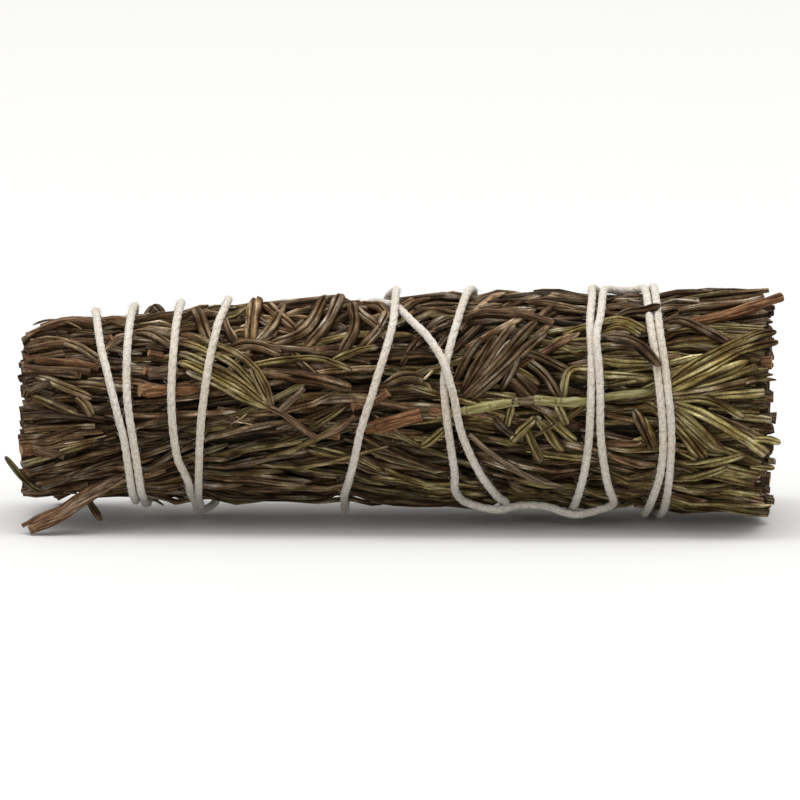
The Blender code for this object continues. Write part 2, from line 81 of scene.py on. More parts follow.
# the string, in mm: every pass goes down the front and up the back, as (angle, place along X, lift)
overString = 1.55
overTwig = 1.8
string = {
    "radius": 0.675,
    "gap": 0.32,
    "plies": 3,
    "sunk": 0.4,           # how deep it is pulled into the needles
    "liftKept": 0.88,      # how much of the lifts its rounder plies need
    "plyRadius": 0.475,
    "plyOffset": 0.135,
    "twist": 5.0,          # mm along the string for one turn of its plies
    "fibres": 4800,
    "fibreRadius": 0.013,
    "fibreReach": (0.2, 0.65),
    "fibreTurn": 1.9,      # how far to either side of the top they stand, in radians
    "fibreLean": 1.4,
    "knotLoop": 1.25,      # turns of a knot's coil
    "knotTails": ((-1, 5.0), (1, 6.5)),
    "knots": [(-38.0, 157), (32.3, 154)],
    "passes": [
        [(168, -34.9, 0), (157, -38.0, 0), (145, -41.2, 0), (126, -43.0, 0), (100, -43.4, 0),
         (54, -42.6, 0), (27, -41.3, 0), (8, -40.2, 0), (-12, -39.0, 0.4), (-30, -38.3, overTwig),
         (-46, -37.95, overTwig), (-64, -37.7, 0.5), (-90, -37.6, 0), (-118, -37.8, 0.5),
         (-137, -38.0, overTwig), (-158, -38.1, 0.6), (-180, -38.0, 0.5), (-203, -38.0, overString),
         (-226, -37.9, 0.5)],
        [(100, -37.7, 0), (54, -38.4, 0), (27, -38.6, 0), (8, -38.4, 0), (-12, -37.7, 0.4),
         (-30, -37.0, overTwig), (-46, -36.65, overTwig), (-64, -36.4, 0.5), (-90, -36.2, 0),
         (-118, -35.3, 0.5), (-137, -34.7, overTwig), (-158, -34.0, 0.4), (-205, -32.6, 0)],
        [(100, -30.9, 0), (54, -31.6, 0), (10, -32.1, 0), (-24, -31.4, 0), (-38, -30.4, 0), (-50, -29.7, 0),
         (-64, -29.5, 0), (-90, -28.7, 0), (-180, -26.9, 0)],
        [(100, -24.0, 0), (54, -25.6, 0), (27, -26.8, 0), (-10, -27.9, 0), (-60, -28.3, 0),
         (-85, -28.2, 0), (-105, -26.6, 0), (-180, -12.5, 0),
         (-192, -9.2, 0.5), (-202, -6.1, overString), (-212, -3.6, 0.5), (-227, -1.4, 0)],
        [(116, -0.6, 0), (104, 0.2, 0.1), (92, 0.5, 0.3), (77, 0.4, 0.5), (63, 0.2, 0.2), (53, 0.0, 0),
         (37, -0.9, 0), (23, -2.0, 0), (9, -3.1, 0), (-11, -4.7, 0), (-34, -5.8, 0), (-50, -6.5, 0),
         (-80, -7.1, 0), (-180, -6.2, 0), (-235, -5.4, -0.6)],
        [(106, -3.8, -1.8), (90, -2.6, -1.4), (77, 0.0, -1.0), (63, 1.6, -0.3), (53, 3.05, 0.1),
         (45, 4.6, 0.4), (37, 5.9, 0.8), (25, 7.5, overString), (8, 8.9, 0.6), (-10, 9.9, 0),
         (-34, 12.4, 0), (-57, 15.1, 0), (-80, 16.6, 0), (-180, 14.2, 0)],
        [(128, 12.1, 0), (112, 11.8, 0), (100, 11.5, 0), (60, 9.7, 0), (25, 7.6, 0), (5, 7.6, 0),
         (-34, 8.9, 0), (-54, 9.1, 0), (-65, 10.8, 0.6),
         (-65, 15.1, overString), (-68, 18.3, 0.4), (-67, 22.2, 0.3),
         (-66, 26.4, overString), (-66, 30.0, 0.5), (-58, 32.1, 0.1), (-38, 31.1, 0),
         (-10, 30.1, 0), (12, 30.0, 0), (28, 29.8, 0.6), (37, 29.5, 1.0), (46, 29.6, 0.8), (60, 30.2, 0.1),
         (88, 30.8, 0), (101, 32.0, -0.3), (103, 34.1, -0.45), (100, 36.1, -0.3), (84, 36.8, 0),
         (54, 37.3, 0), (24, 38.3, 0), (-5, 39.1, 0), (-28, 38.9, 0), (-60, 37.4, 0), (-90, 36.8, 0),
         (-180, 37.3, 0)],
        [(100, 38.0, 0), (54, 38.55, 0), (24, 39.5, 0), (-5, 40.3, 0), (-30, 40.15, 0),
         (-60, 39.6, 0), (-85, 39.1, 0), (-104, 38.3, 0.6), (-122, 37.0, overString),
         (-142, 35.8, 0.6), (-178, 33.9, 0.1), (-206, 32.3, overString), (-228, 31.0, 0.5)],
        [(100, 29.2, 0), (77, 29.0, 0), (53, 28.6, 0), (37, 28.75, 0), (23, 28.75, 0), (3, 28.6, 0),
         (-11, 28.4, 0), (-28, 27.9, 0), (-60, 26.6, 0), (-90, 25.9, 0), (-140, 26.0, 0), (-170, 28.0, 0),
         (-194, 30.2, 0), (-210, 33.2, 0), (-217, 35.2, 0)],
    ],
}

# the camera, and the photograph's frame that the needles placed one by one are read in
camera = {
    "elevation": 10.0,
    "distance": 1.84,
    "aim": (0.00104, 0.0, 0.01765),
    "focalPixels": 12604,
    "framePixels": 800,
    "needleTop": 0.8,      # how far the needles that it sees stand out over the bundle's radius, in mm
}


def smoothThrough(points, t):
    # a smooth line through points of (place, values...), read at the places t
    points = np.array(points, float)
    places = points[:, 0]
    slopes = np.gradient(points[:, 1:], places, axis=0)
    i = np.clip(np.searchsorted(places, t, side="right") - 1, 0, len(places) - 2)
    run = (places[i + 1] - places[i])[:, None]
    s = ((t - places[i]) / (places[i + 1] - places[i]))[:, None]
    a, b = points[i, 1:], points[i + 1, 1:]
    blend = (2 * s**3 - 3 * s**2 + 1) * a + (3 * s**2 - 2 * s**3) * b
    return blend + (s**3 - 2 * s**2 + s) * run * slopes[i] + (s**3 - s**2) * run * slopes[i + 1]


lengthGrid = np.arange(-62, 62.01, 0.25)
radiusGrid, heightGrid = smoothThrough(bundle["shape"], lengthGrid).T


def radiusAt(x):
    return np.interp(x, lengthGrid, radiusGrid)


def heightAt(x):
    return np.interp(x, lengthGrid, heightGrid)


def stringRoute(step):
    # the string as rows of (x, angle, lift): one unbroken line, a turn lower with every pass
    marks = []
    for turn, onePass in enumerate(string["passes"]):
        marks += [(x, angle - 360 * turn, lift) for angle, x, lift in onePass]
    marks = np.array(marks, float)
    rows = []
    for i in range(len(marks) - 1):
        p, q = marks[max(0, i - 1)], marks[i]
        r, s = marks[i + 1], marks[min(len(marks) - 1, i + 2)]
        arc = math.radians(abs(q[1] - r[1])) * float(radiusAt(q[0]))
        count = max(1, math.ceil(math.hypot(arc, q[0] - r[0]) / step))
        for k in range(count):
            t = k / count
            bow = (2 * p - 5 * q + 4 * r - s) * t**2 + (3 * q - p - 3 * r + s) * t**3
            rows.append((2 * q + (r - p) * t + bow) / 2)
    rows.append(marks[-1])
    return np.array(rows)


def swellMap():
    # how far the needles stand out: nothing under the string, and a soft pillow between its turns
    held = stringRoute(1.2)
    held[:, 2] *= string["liftKept"] * bundle["swellLift"]
    low, high = bundle["linkX"]
    link = (held[:, 0] > low) & (held[:, 0] < high) & (abs(held[:, 1] % 360 - bundle["linkAngle"]) < 5)
    held[link, 2] += bundle["linkRise"]
    pressed = [(x, angle, 0) for x in np.linspace(*bundle["twigX"], 7) for angle in bundle["twigAngles"]]
    held = np.vstack([held, pressed])
    xs = np.arange(bundle["mapFrom"], -bundle["mapFrom"] + bundle["mapStep"], bundle["mapStep"])
    angles = np.arange(0, 360, bundle["mapTurn"])
    table = np.zeros((len(xs), len(angles)))
    for i, x in enumerate(xs):
        near = held[abs(held[:, 0] - x) < bundle["swellTo"]]
        distance = np.full(len(angles), 99.0)
        lift = np.zeros(len(angles))
        if len(near):
            turn = (near[None, :, 1] - angles[:, None] + 180) % 360 - 180
            arc = np.radians(turn) * float(radiusAt(x))
            away = np.hypot(arc, near[None, :, 0] - x)
            distance = away.min(1)
            lift = near[away.argmin(1), 2]
        share = (distance - bundle["swellFrom"]) / (bundle["swellTo"] - bundle["swellFrom"])
        share = np.clip(share, 0, 1)
        share = share * share * (3 - 2 * share)
        rise = bundle["swell"] * share + (lift - 0.15) * (1 - share)
        a = np.radians(angles)
        waves = np.sin(0.31 * x + 2 * a) + np.sin(0.53 * x - 3 * a + 1) + np.sin(0.17 * x + 5 * a + 2)
        table[i] = rise + bundle["uneven"] * share * (waves / 2 - 0.3)
    return table


swellTable = swellMap()


def swellAt(x, angle):
    i = np.clip((np.asarray(x) - bundle["mapFrom"]) / bundle["mapStep"], 0, swellTable.shape[0] - 1.001)
    j = (np.asarray(angle) % 360) / bundle["mapTurn"]
    i0, j0 = i.astype(int), j.astype(int) % swellTable.shape[1]
    fi, fj = i - i0, j - j.astype(int)
    j1 = (j0 + 1) % swellTable.shape[1]
    near = swellTable[i0, j0] * (1 - fj) + swellTable[i0, j1] * fj
    far = swellTable[i0 + 1, j0] * (1 - fj) + swellTable[i0 + 1, j1] * fj
    return near * (1 - fi) + far * fi


def sagAt(x, angle):
    # how far the underside hangs below the round bundle
    room = np.maximum(0, heightAt(x) - radiusAt(x) - bundle["sagClear"])
    share = np.clip((x - bundle["sagFrom"][0]) / (bundle["sagFrom"][1] - bundle["sagFrom"][0]), 0, 1)
    turn = (np.asarray(angle) - bundle["sagAngle"] + 180) % 360 - 180
    return room * share * np.exp(-(turn / bundle["sagWidth"]) ** 2)


def onBundle(x, angle, radius):
    # points in metres at this radius from the bundle's axis, and the way out from it
    radius = radius + sagAt(x, angle) * np.minimum(1, radius / radiusAt(x))
    a = np.radians(angle)
    out = np.stack([0 * a, -np.cos(a), np.sin(a)], 1)
    axis = np.stack([x, 0 * x, heightAt(x)], 1)
    return (axis + out * np.reshape(radius, (-1, 1))) / 1000, out


def seenAt(pixel):
    # the place (x, angle) on the bundle's near side that shows at this pixel of the photograph
    scale = camera["focalPixels"] / (camera["distance"] * 1000)
    tilt = math.radians(camera["elevation"])
    middle = camera["framePixels"] / 2
    x = (pixel[0] - middle) / scale + camera["aim"][0] * 1000
    for _ in range(3):
        radius = float(radiusAt(x)) + camera["needleTop"]
        up = (middle - pixel[1]) / scale
        up -= (float(heightAt(x)) - camera["aim"][2] * 1000) * math.cos(tilt)
        angle = math.degrees(tilt + math.asin(max(-1, min(1, up / radius))))
        away = -radius * math.cos(math.radians(angle)) * math.cos(tilt)
        x = (pixel[0] - middle) / scale * (1 + away / 1000 / camera["distance"]) + camera["aim"][0] * 1000
    return x, angle


# materials. Each colour is the stops of a ramp, and one number stands for a grey

colours = {
    "brownNeedle": [(0.32, (0.06, 0.028, 0.01)), (0.45, (0.115, 0.066, 0.032)),
                    (0.56, (0.185, 0.126, 0.076)), (0.7, (0.31, 0.26, 0.2))],
    "greenNeedle": [(0.3, (0.085, 0.044, 0.014)), (0.38, (0.15, 0.108, 0.034)),
                    (0.54, (0.23, 0.192, 0.076)), (0.7, (0.33, 0.29, 0.15))],
    "dryEnds": [(0.44, 1), (0.56, 0)],
    # streaks along a needle, partly its own grain; their palest stop paints highlight lines
    "streaks": [(0.36, (0.26, 0.19, 0.12)), (0.47, (0.8, 0.76, 0.7)),
                (0.56, (1.28, 1.28, 1.26)), (0.66, (2.3, 2.45, 2.75))],
    "wrinkles": [(0.36, (0.62, 0.6, 0.58)), (0.5, 1), (0.66, (1.25, 1.23, 1.2))],
    # painted on the upper side across a needle, middle to edge: shade in the groove, a highlight on the
    # ridges, shade at the edges between needles
    "upperGrooveShadeRidgeHighlight": [(0.0, (0.34, 0.31, 0.27)), (0.04, (0.5, 0.47, 0.42)), (0.11, (1.18, 1.17, 1.15)),
                  (0.34, 1), (0.42, (0.46, 0.4, 0.34)), (0.5, (0.1, 0.07, 0.04))],
    # the underside across a needle: a pale felt strip down the middle and a dark band beside it, with
    # painted shade at the edges between needles
    "feltWithEdgeShade": [(0.06, (1.35, 1.28, 1.17)), (0.13, (0.45, 0.42, 0.38)), (0.2, 1), (0.38, 0.9),
                   (0.5, (0.2, 0.18, 0.16))],
    "groove": [(0.02, 0), (0.11, 1)],
    "redBark": [(0.37, (0.036, 0.013, 0.005)), (0.46, (0.11, 0.045, 0.017)),
                (0.55, (0.21, 0.098, 0.04)), (0.67, (0.38, 0.225, 0.115))],
    "greyBark": [(0.37, (0.036, 0.02, 0.011)), (0.5, (0.115, 0.08, 0.05)),
                 (0.66, (0.29, 0.235, 0.17))],
    "greenStem": [(0.36, (0.12, 0.094, 0.032)), (0.5, (0.205, 0.184, 0.072)),
                  (0.66, (0.31, 0.292, 0.145))],
    "cracks": [(0.34, (0.42, 0.3, 0.2)), (0.42, 1)],
    "cutWood": [(0.34, (0.1, 0.046, 0.018)), (0.46, (0.26, 0.13, 0.05)),
                (0.58, (0.42, 0.24, 0.105)), (0.7, (0.52, 0.37, 0.21))],
    "cotton": [(0.34, (0.41, 0.36, 0.3)), (0.48, (0.53, 0.485, 0.42)), (0.62, (0.64, 0.6, 0.54))],
    "soil": [(0.35, (0.9, 0.87, 0.8)), (0.6, 1)],
    # painted shade deep in the bundle, near black
    "heart": [(0.35, (0.006, 0.004, 0.002)), (0.6, (0.024, 0.016, 0.009))],
}


def newMaterial(name):
    made = bpy.data.materials.new(name)
    made.use_nodes = True
    return made, made.node_tree, made.node_tree.nodes["Principled BSDF"]


def feed(tree, inputs, values):
    # another node's output is linked to its input, and a number or a colour is set on it
    for key, value in values.items():
        if isinstance(value, bpy.types.NodeSocket):
            tree.links.new(value, inputs[key])
        elif isinstance(value, tuple):
            inputs[key].default_value = (*value, 1)[:len(inputs[key].default_value)]
        else:
            inputs[key].default_value = value


def node(tree, kind, values, **settings):
    made = tree.nodes.new("ShaderNode" + kind)
    for key, value in settings.items():
        setattr(made, key, value)
    feed(tree, made.inputs, values)
    return made


def attribute(tree, name, output="Vector"):
    return node(tree, "Attribute", {}, attribute_name=name).outputs[output]


def noise(tree, place, fineness, detail, roughness):
    # fineness is the pattern's along X, Y and Z
    place = node(tree, "Mapping", {"Vector": place, "Scale": fineness}).outputs["Vector"]
    values = {"Vector": place, "Scale": 1.0, "Detail": detail, "Roughness": roughness}
    return node(tree, "TexNoise", values).outputs["Fac"]


def ramp(tree, value, name):
    made = node(tree, "ValToRGB", {"Fac": value})
    stops = made.color_ramp.elements
    while len(stops) < len(colours[name]):
        stops.new(0.5)
    for stop, (place, colour) in zip(stops, colours[name]):
        stop.position = place
        stop.color = (*np.broadcast_to(colour, 3), 1)
    return made.outputs["Color"]


def mixed(tree, share, a, b, blend="MIX"):
    return node(tree, "Mix", {0: share, 6: a, 7: b}, data_type="RGBA", blend_type=blend).outputs[2]


def maths(tree, operation, a, b=0.0):
    return node(tree, "Math", {0: a, 1: b}, operation=operation).outputs[0]


def plus(tree, a, b, share):
    return maths(tree, "ADD", a, maths(tree, "MULTIPLY", b, share))


def lit(tree, colour, light, factor):
    return mixed(tree, 1.0, colour, maths(tree, "MULTIPLY", light, factor), "MULTIPLY")


def toneOf(tree):
    # the copy's own numbers: how green or grey it is, how light it is, and one that sets it apart. A laid
    # needle's lightness also holds painted shade deeper in the bundle and painted light on top
    return node(tree, "SeparateColor", {0: attribute(tree, "tone", "Color")}).outputs[:3]


def dress(tree, shader, colour, height, relief, reliefDepth, roughness, shine):
    bump = node(tree, "Bump", {"Height": height, "Strength": relief, "Distance": reliefDepth})
    feed(tree, shader.inputs, {
        "Base Color": colour,
        "Roughness": roughness,
        "Specular IOR Level": shine,
        "Normal": bump.outputs["Normal"],
    })


def needleSkin():
    # grain is mm along, across and through a needle, and section the same on the master shape,
    # which is one unit long and wide
    made, tree, shader = newMaterial("driedNeedle")
    green, light, own = toneOf(tree)
    grain = attribute(tree, "grain")
    section = node(tree, "SeparateXYZ", {0: attribute(tree, "section")}).outputs
    streaks = noise(tree, grain, (0.26, 1.9, 1.9), 4.0, 0.60)
    patches = noise(tree, grain, (0.24, 0.3, 0.3), 2.0, 0.5)
    wrinkles = noise(tree, grain, (3.2, 2.2, 2.2), 3.0, 0.62)
    ends = maths(tree, "ABSOLUTE", maths(tree, "SUBTRACT", section[0], 0.5))
    alive = maths(tree, "MULTIPLY", green, ramp(tree, plus(tree, ends, own, 0.12), "dryEnds"))
    colour = mixed(tree, alive, ramp(tree, patches, "brownNeedle"), ramp(tree, patches, "greenNeedle"))
    # the streaks' palest stop is a painted highlight
    colour = mixed(tree, 0.9, colour, ramp(tree, streaks, "streaks"), "MULTIPLY")
    colour = mixed(tree, 0.8, colour, ramp(tree, wrinkles, "wrinkles"), "MULTIPLY")
    # across the needle: painted shade in the groove and at the edges, painted highlights on the ridges, and
    # the felted underside below
    centre = maths(tree, "ABSOLUTE", section[1])
    under = maths(tree, "LESS_THAN", section[2], -0.15)
    sides = mixed(tree, under, ramp(tree, centre, "upperGrooveShadeRidgeHighlight"), ramp(tree, centre, "feltWithEdgeShade"))
    # the lightness here holds the laid needles' painted shade by depth and painted light by zone
    colour = lit(tree, mixed(tree, 1.0, colour, sides, "MULTIPLY"), light, 1.62)
    rough = maths(tree, "ADD", maths(tree, "MULTIPLY", wrinkles, 0.40), 0.48)
    height = plus(tree, plus(tree, streaks, wrinkles, 0.9), ramp(tree, centre, "groove"), 0.8)
    dress(tree, shader, colour, height, 0.85, 0.00020, rough, 0.13)
    return made


def barkSkin():
    made, tree, shader = newMaterial("driedBark")
    grey, light, _ = toneOf(tree)
    grain = attribute(tree, "grain")
    streaks = noise(tree, grain, (0.28, 3.6, 3.6), 5.0, 0.68)
    rings = noise(tree, grain, (1.6, 0.5, 0.5), 3.0, 0.6)
    colour = mixed(tree, grey, ramp(tree, streaks, "redBark"), ramp(tree, streaks, "greyBark"))
    colour = lit(tree, colour, light, 1.7)
    dress(tree, shader, colour, plus(tree, streaks, rings, 0.7), 0.9, 0.00030, 0.82, 0.15)
    return made


def greenStemSkin():
    # a young stem: pale green, finely marked along it, with a few dark cracks round it
    made, tree, shader = newMaterial("greenStem")
    light = toneOf(tree)[1]
    grain = attribute(tree, "grain")
    streaks = noise(tree, grain, (0.30, 2.4, 2.4), 4.0, 0.55)
    cracks = noise(tree, grain, (1.5, 0.5, 0.5), 3.0, 0.6)
    colour = mixed(tree, 0.8, ramp(tree, streaks, "greenStem"), ramp(tree, cracks, "cracks"), "MULTIPLY")
    colour = lit(tree, colour, light, 1.8)
    dress(tree, shader, colour, plus(tree, streaks, cracks, 0.8), 0.7, 0.00018, 0.75, 0.15)
    return made


def cutWoodSkin():
    # a cut face: pale, uneven wood
    made, tree, shader = newMaterial("cutWood")
    speck = noise(tree, attribute(tree, "grain"), (2.0, 4.0, 4.0), 4.0, 0.7)
    dress(tree, shader, ramp(tree, speck, "cutWood"), speck, 0.7, 0.0002, 0.85, 0.5)
    return made


def cottonSkin():
    made, tree, shader = newMaterial("cottonString")
    place = node(tree, "TexCoord", {}).outputs["Object"]
    fibres = noise(tree, place, (2600, 2600, 2600), 4.0, 0.65)
    soil = noise(tree, place, (110, 110, 110), 2.0, 0.5)
    colour = mixed(tree, 1.0, ramp(tree, fibres, "cotton"), ramp(tree, soil, "soil"), "MULTIPLY")
    dress(tree, shader, colour, fibres, 0.5, 0.0001, 0.9, 0.2)
    shader.inputs["Sheen Weight"].default_value = 0.25
    return made


def heartShadeSkin():
    # the imported body between the sprigs, painted near black as shade deep in the bundle, with fine specks
    made, tree, shader = newMaterial("paintedShadeHeart")
    place = node(tree, "TexCoord", {}).outputs["Object"]
    shadeSpeckle = noise(tree, place, (500, 1500, 1500), 4.0, 0.6)
    dress(tree, shader, ramp(tree, shadeSpeckle, "heart"), shadeSpeckle, 0.8, 0.0004, 0.95, 0.5)
    return made


needleMaterial = needleSkin()
greenStemMaterial = greenStemSkin()
barkMaterial = barkSkin()
cutWoodMaterial = cutWoodSkin()
cottonMaterial = cottonSkin()
heartShadeMaterial = heartShadeSkin()
print("materials done")


# master shapes, one unit long along X and one unit across, which are copied and bent

ridge = 0.07             # how far a needle's two ridges stand up and draw together
underGroove = 0.16
needleRings = [0.08, 0.28, 0.52, 0.76, 0.92]
stemRings = [0.02, 0.12, 0.24, 0.36, 0.48, 0.60, 0.72, 0.84, 0.96]
masters = {
    "needle": {"sides": 8, "groove": 0.20, "rings": needleRings,
               "widths": [0.50, 0.78, 1.0, 1.0, 0.95, 0.66, 0.24]},
    "fine": {"sides": 12, "groove": 0.22,
             "rings": [0.03, 0.10, 0.20, 0.31, 0.42, 0.53, 0.64, 0.75, 0.85, 0.93, 0.98],
             "widths": [0.42, 0.60, 0.78, 0.92, 1.0, 1.03, 1.0, 1.02, 1.0, 0.94, 0.80, 0.55, 0.24]},
    "trimmed": {"sides": 8, "groove": 0.20, "rings": needleRings,
                "widths": [0.96, 0.98, 1.0, 1.0, 1.0, 0.98, 0.96]},
    "stem": {"sides": 8, "rings": stemRings, "swell": 0.14},
    "greenStem": {"sides": 12, "rings": stemRings, "swell": 0.14},
    "bark": {"sides": 12, "hollow": 0.42, "torn": (-0.012, 0.075),
             "rings": [0.05, 0.11, 0.18, 0.25, 0.32, 0.39, 0.46, 0.53, 0.60, 0.67, 0.74, 0.81, 0.88, 0.95]},
}


def selectVertices(obj, test):
    # selects in edit mode the vertices that pass the test, and nothing else
    mesh = bmesh.from_edit_mesh(obj.data)
    for face in mesh.faces:
        face.select = False
    for edge in mesh.edges:
        edge.select = False
    for vert in mesh.verts:
        vert.select = bool(test(vert.co))
    mesh.select_flush_mode()
    bmesh.update_edit_mesh(obj.data)


def onRing(co, place, near=0.004):
    return abs(co.x - place) < near


def ringed(name, sides, rings, radius=0.5, middle=0.5):
    # a round bar one unit long along X, cut into rings and left in edit mode
    bpy.ops.mesh.primitive_cylinder_add(
        vertices=sides, radius=radius, depth=1, location=(middle, 0, 0), rotation=(0, math.pi / 2, 0))
    obj = bpy.context.object
    obj.name = name
    bpy.ops.object.transform_apply(location=True, rotation=True, scale=True)
    bpy.ops.object.mode_set(mode="EDIT")
    bpy.ops.mesh.select_mode(type="VERT")
    for place in rings:
        bpy.ops.mesh.select_all(action="SELECT")
        bpy.ops.mesh.bisect(plane_co=(place, 0, 0), plane_no=(1, 0, 0))
    return obj


def finishMaster(obj, *skins):
    # a second skin goes on the cut faces at both ends
    bpy.ops.object.mode_set(mode="OBJECT")
    for skin in skins:
        obj.data.materials.append(skin)
    for face in obj.data.polygons:
        face.material_index = int(len(skins) > 1 and abs(face.normal.x) > 0.9)
    bpy.ops.object.shade_smooth_by_angle(angle=math.radians(75))
    count = len(obj.data.vertices)
    places = np.zeros(count * 3)
    obj.data.vertices.foreach_get("co", places)
    places = places.reshape(-1, 3)
    section = obj.data.attributes.new("section", "FLOAT_VECTOR", "POINT")
    section.data.foreach_set("vector", places.ravel())
    obj.data.attributes.new("tone", "FLOAT_COLOR", "POINT")
    obj.data.attributes.new("grain", "FLOAT_VECTOR", "POINT")
    obj.hide_render = True
    obj.select_set(False)
    return obj, places


def shapeNeedle(kind):
    # two ridges with a groove between them above, rolled edges with a groove between them below
    shape = masters[kind]
    obj = ringed(kind + "Master", shape["sides"], shape["rings"])
    selectVertices(obj, lambda co: co.z > 0.45 and abs(co.y) < 0.1)
    bpy.ops.transform.translate(value=(0, 0, -shape["groove"]))
    selectVertices(obj, lambda co: co.z < -0.45 and abs(co.y) < 0.1)
    bpy.ops.transform.translate(value=(0, 0, underGroove))
    for side in (-1, 1):
        selectVertices(obj, lambda co: co.z > 0.2 and 0.1 < co.y * side < 0.4)
        bpy.ops.transform.translate(value=(0, -ridge * side, ridge))
    for place, width in zip([0.0] + shape["rings"] + [1.0], shape["widths"]):
        selectVertices(obj, lambda co: onRing(co, place))
        bpy.ops.transform.resize(value=(1, width, width), center_override=(place, 0, 0))
    return finishMaster(obj, needleMaterial)


def shapeStem(kind, skin):
    shape = masters[kind]
    obj = ringed(kind + "Master", shape["sides"], shape["rings"])
    chance = random.Random(bundle["seed"])
    for place in shape["rings"][1:-1]:
        swell = chance.uniform(1 - shape["swell"], 1 + shape["swell"])
        selectVertices(obj, lambda co: onRing(co, place))
        bpy.ops.transform.resize(value=(1, swell, swell), center_override=(place, 0, 0))
    return finishMaster(obj, skin, cutWoodMaterial)


def shapeBark(kind):
    # a split strip of bark: hollowed below, uneven all along and torn at both ends
    shape = masters[kind]
    obj = ringed(kind + "Master", shape["sides"], shape["rings"])
    chance = random.Random(bundle["seed"] + 2)
    selectVertices(obj, lambda co: co.z < -0.2 and abs(co.y) < 0.35)
    bpy.ops.transform.translate(value=(0, 0, shape["hollow"]))
    for place in shape["rings"]:
        for low, high in ((-1, -0.2), (-0.2, 0.2), (0.2, 1)):
            selectVertices(obj, lambda co: onRing(co, place) and low <= co.y < high and co.z > -0.1)
            shift = (0, chance.uniform(-0.07, 0.07), chance.uniform(-0.10, 0.12))
            bpy.ops.transform.translate(value=shift)
    for place, toward in ((0.0, -1), (1.0, 1)):
        for low, high in ((-1, -0.3), (-0.3, -0.05), (-0.05, 0.2), (0.2, 0.4), (0.4, 1)):
            selectVertices(obj, lambda co: onRing(co, place) and low <= co.y < high)
            bpy.ops.transform.translate(value=(toward * chance.uniform(*shape["torn"]), 0, 0))
    return finishMaster(obj, barkMaterial, cutWoodMaterial)


kinds = {kind: shapeNeedle(kind) for kind in ("needle", "fine", "trimmed")}
kinds["stem"] = shapeStem("stem", barkMaterial)
kinds["greenStem"] = shapeStem("greenStem", greenStemMaterial)
kinds["bark"] = shapeBark("bark")
print("master shapes done")


# laying: every copy is bent along its own path and waits for its sprig's join

sprigCount = 12
waiting = {}
chance = random.Random(bundle["seed"])


def unit(rows):
    return rows / np.maximum(np.linalg.norm(rows, axis=1, keepdims=True), 1e-12)


def readAlong(values, along):
    # one number for the whole length or several spread evenly over it, read at each share of it
    return np.interp(along, np.linspace(0, 1, np.size(values)), np.ravel(values))[:, None]


def readRows(rows, along):
    return np.hstack([readAlong(column, along) for column in rows.T])


bending = {
    "ripple": 0.08,        # how much a copy's thickness comes and goes along it, in long waves
    "fineRipple": 0.05,    # and in short ones
    "slant": 0.10,         # how far a trimmed end is cut askew
    "apart": 500,          # how far from one another the copies read their skins, in mm
}


def bentCopy(kind, points, out, width, thick, tone, roll=0.0, twist=0.0):
    # points are in metres, width and thick in mm
    master, shape = kinds[kind]
    steps = np.linspace(0, 1, len(points))
    tangent = unit(np.gradient(points, axis=0))
    across = unit(np.cross(out, tangent))
    up = np.cross(tangent, across)
    turn = np.radians(roll + twist * steps)[:, None]
    side = across * np.cos(turn) + up * np.sin(turn)
    top = up * np.cos(turn) - across * np.sin(turn)
    along = shape[:, 0]
    phase = chance.uniform(0, 6.28)
    ripple = bending["ripple"] * np.sin(along * 9 + phase)
    uneven = (1 + ripple + bending["fineRipple"] * np.sin(along * 17 + 2 * phase))[:, None]
    wide, high = readAlong(width, along) / 1000, readAlong(thick, along) / 1000
    if kind == "trimmed":
        slant = chance.uniform(-bending["slant"], bending["slant"])
        along = np.clip(along + slant * shape[:, 1] * (abs(along - 0.5) > 0.49), 0, 1)
    places = readRows(points, along) + readRows(side, along) * shape[:, 1:2] * uneven * wide
    places += readRows(top, along) * shape[:, 2:3] * uneven * high
    places[:, 2] = np.maximum(places[:, 2], 0.00002)
    copy = master.copy()
    copy.data = master.data.copy()
    copy.hide_render = False
    copy.data.vertices.foreach_set("co", places.ravel())
    length = float(np.linalg.norm(np.diff(points, axis=0), axis=1).sum()) * 1000
    shift = [chance.uniform(0, bending["apart"]) for _ in range(3)]
    grain = shape * np.array([length, np.mean(width), np.mean(thick)]) + shift
    copy.data.attributes["grain"].data.foreach_set("vector", grain.ravel())
    tones = np.tile(np.array([*tone, 1.0]), len(shape))
    copy.data.attributes["tone"].data.foreach_set("color", tones)
    return copy


def keepFor(sprig, copy):
    waiting.setdefault(sprig, []).append(copy)


def sprigAt(angle):
    return int(round((angle % 360) / (360 / sprigCount))) % sprigCount + 1


def layOn(kind, x, angle, depth, width, thick, tone, roll=0.0, twist=0.0, free=False):
    # lays one copy along places on the bundle. Where it passes an end of the bundle it is cut off,
    # unless it is free
    x, angle, depth = (np.array(v, float) for v in (x, angle, depth))
    low = bundle["cutEnd"] + chance.gauss(0.2, 0.5)
    high = bundle["leafEnd"] + chance.gauss(-0.5, 0.7)
    inside = (x > low) & (x < high)
    if inside.sum() < 3 and not free:
        return
    if not inside.all() and not free:
        steps = np.linspace(0, 1, len(x))
        order = 1 if x[-1] > x[0] else -1
        cuts = np.interp([low, high], x[::order], steps[::order])
        first, last = np.clip(sorted(cuts), 0, 1)
        again = np.linspace(first, last, len(x))
        x, angle, depth = (np.interp(again, steps, v) for v in (x, angle, depth))
        kind = "trimmed" if kind in ("needle", "fine") else kind
    radius = radiusAt(x) + swellAt(x, angle) - depth - thick / 2
    points, out = onBundle(x, angle, radius)
    points[:, 2] = np.maximum(points[:, 2], (0.05 + thick / 2) / 1000)
    copy = bentCopy(kind, points, out, width, thick, tone, roll, twist)
    keepFor(sprigAt(float(angle[len(angle) // 2])), copy)
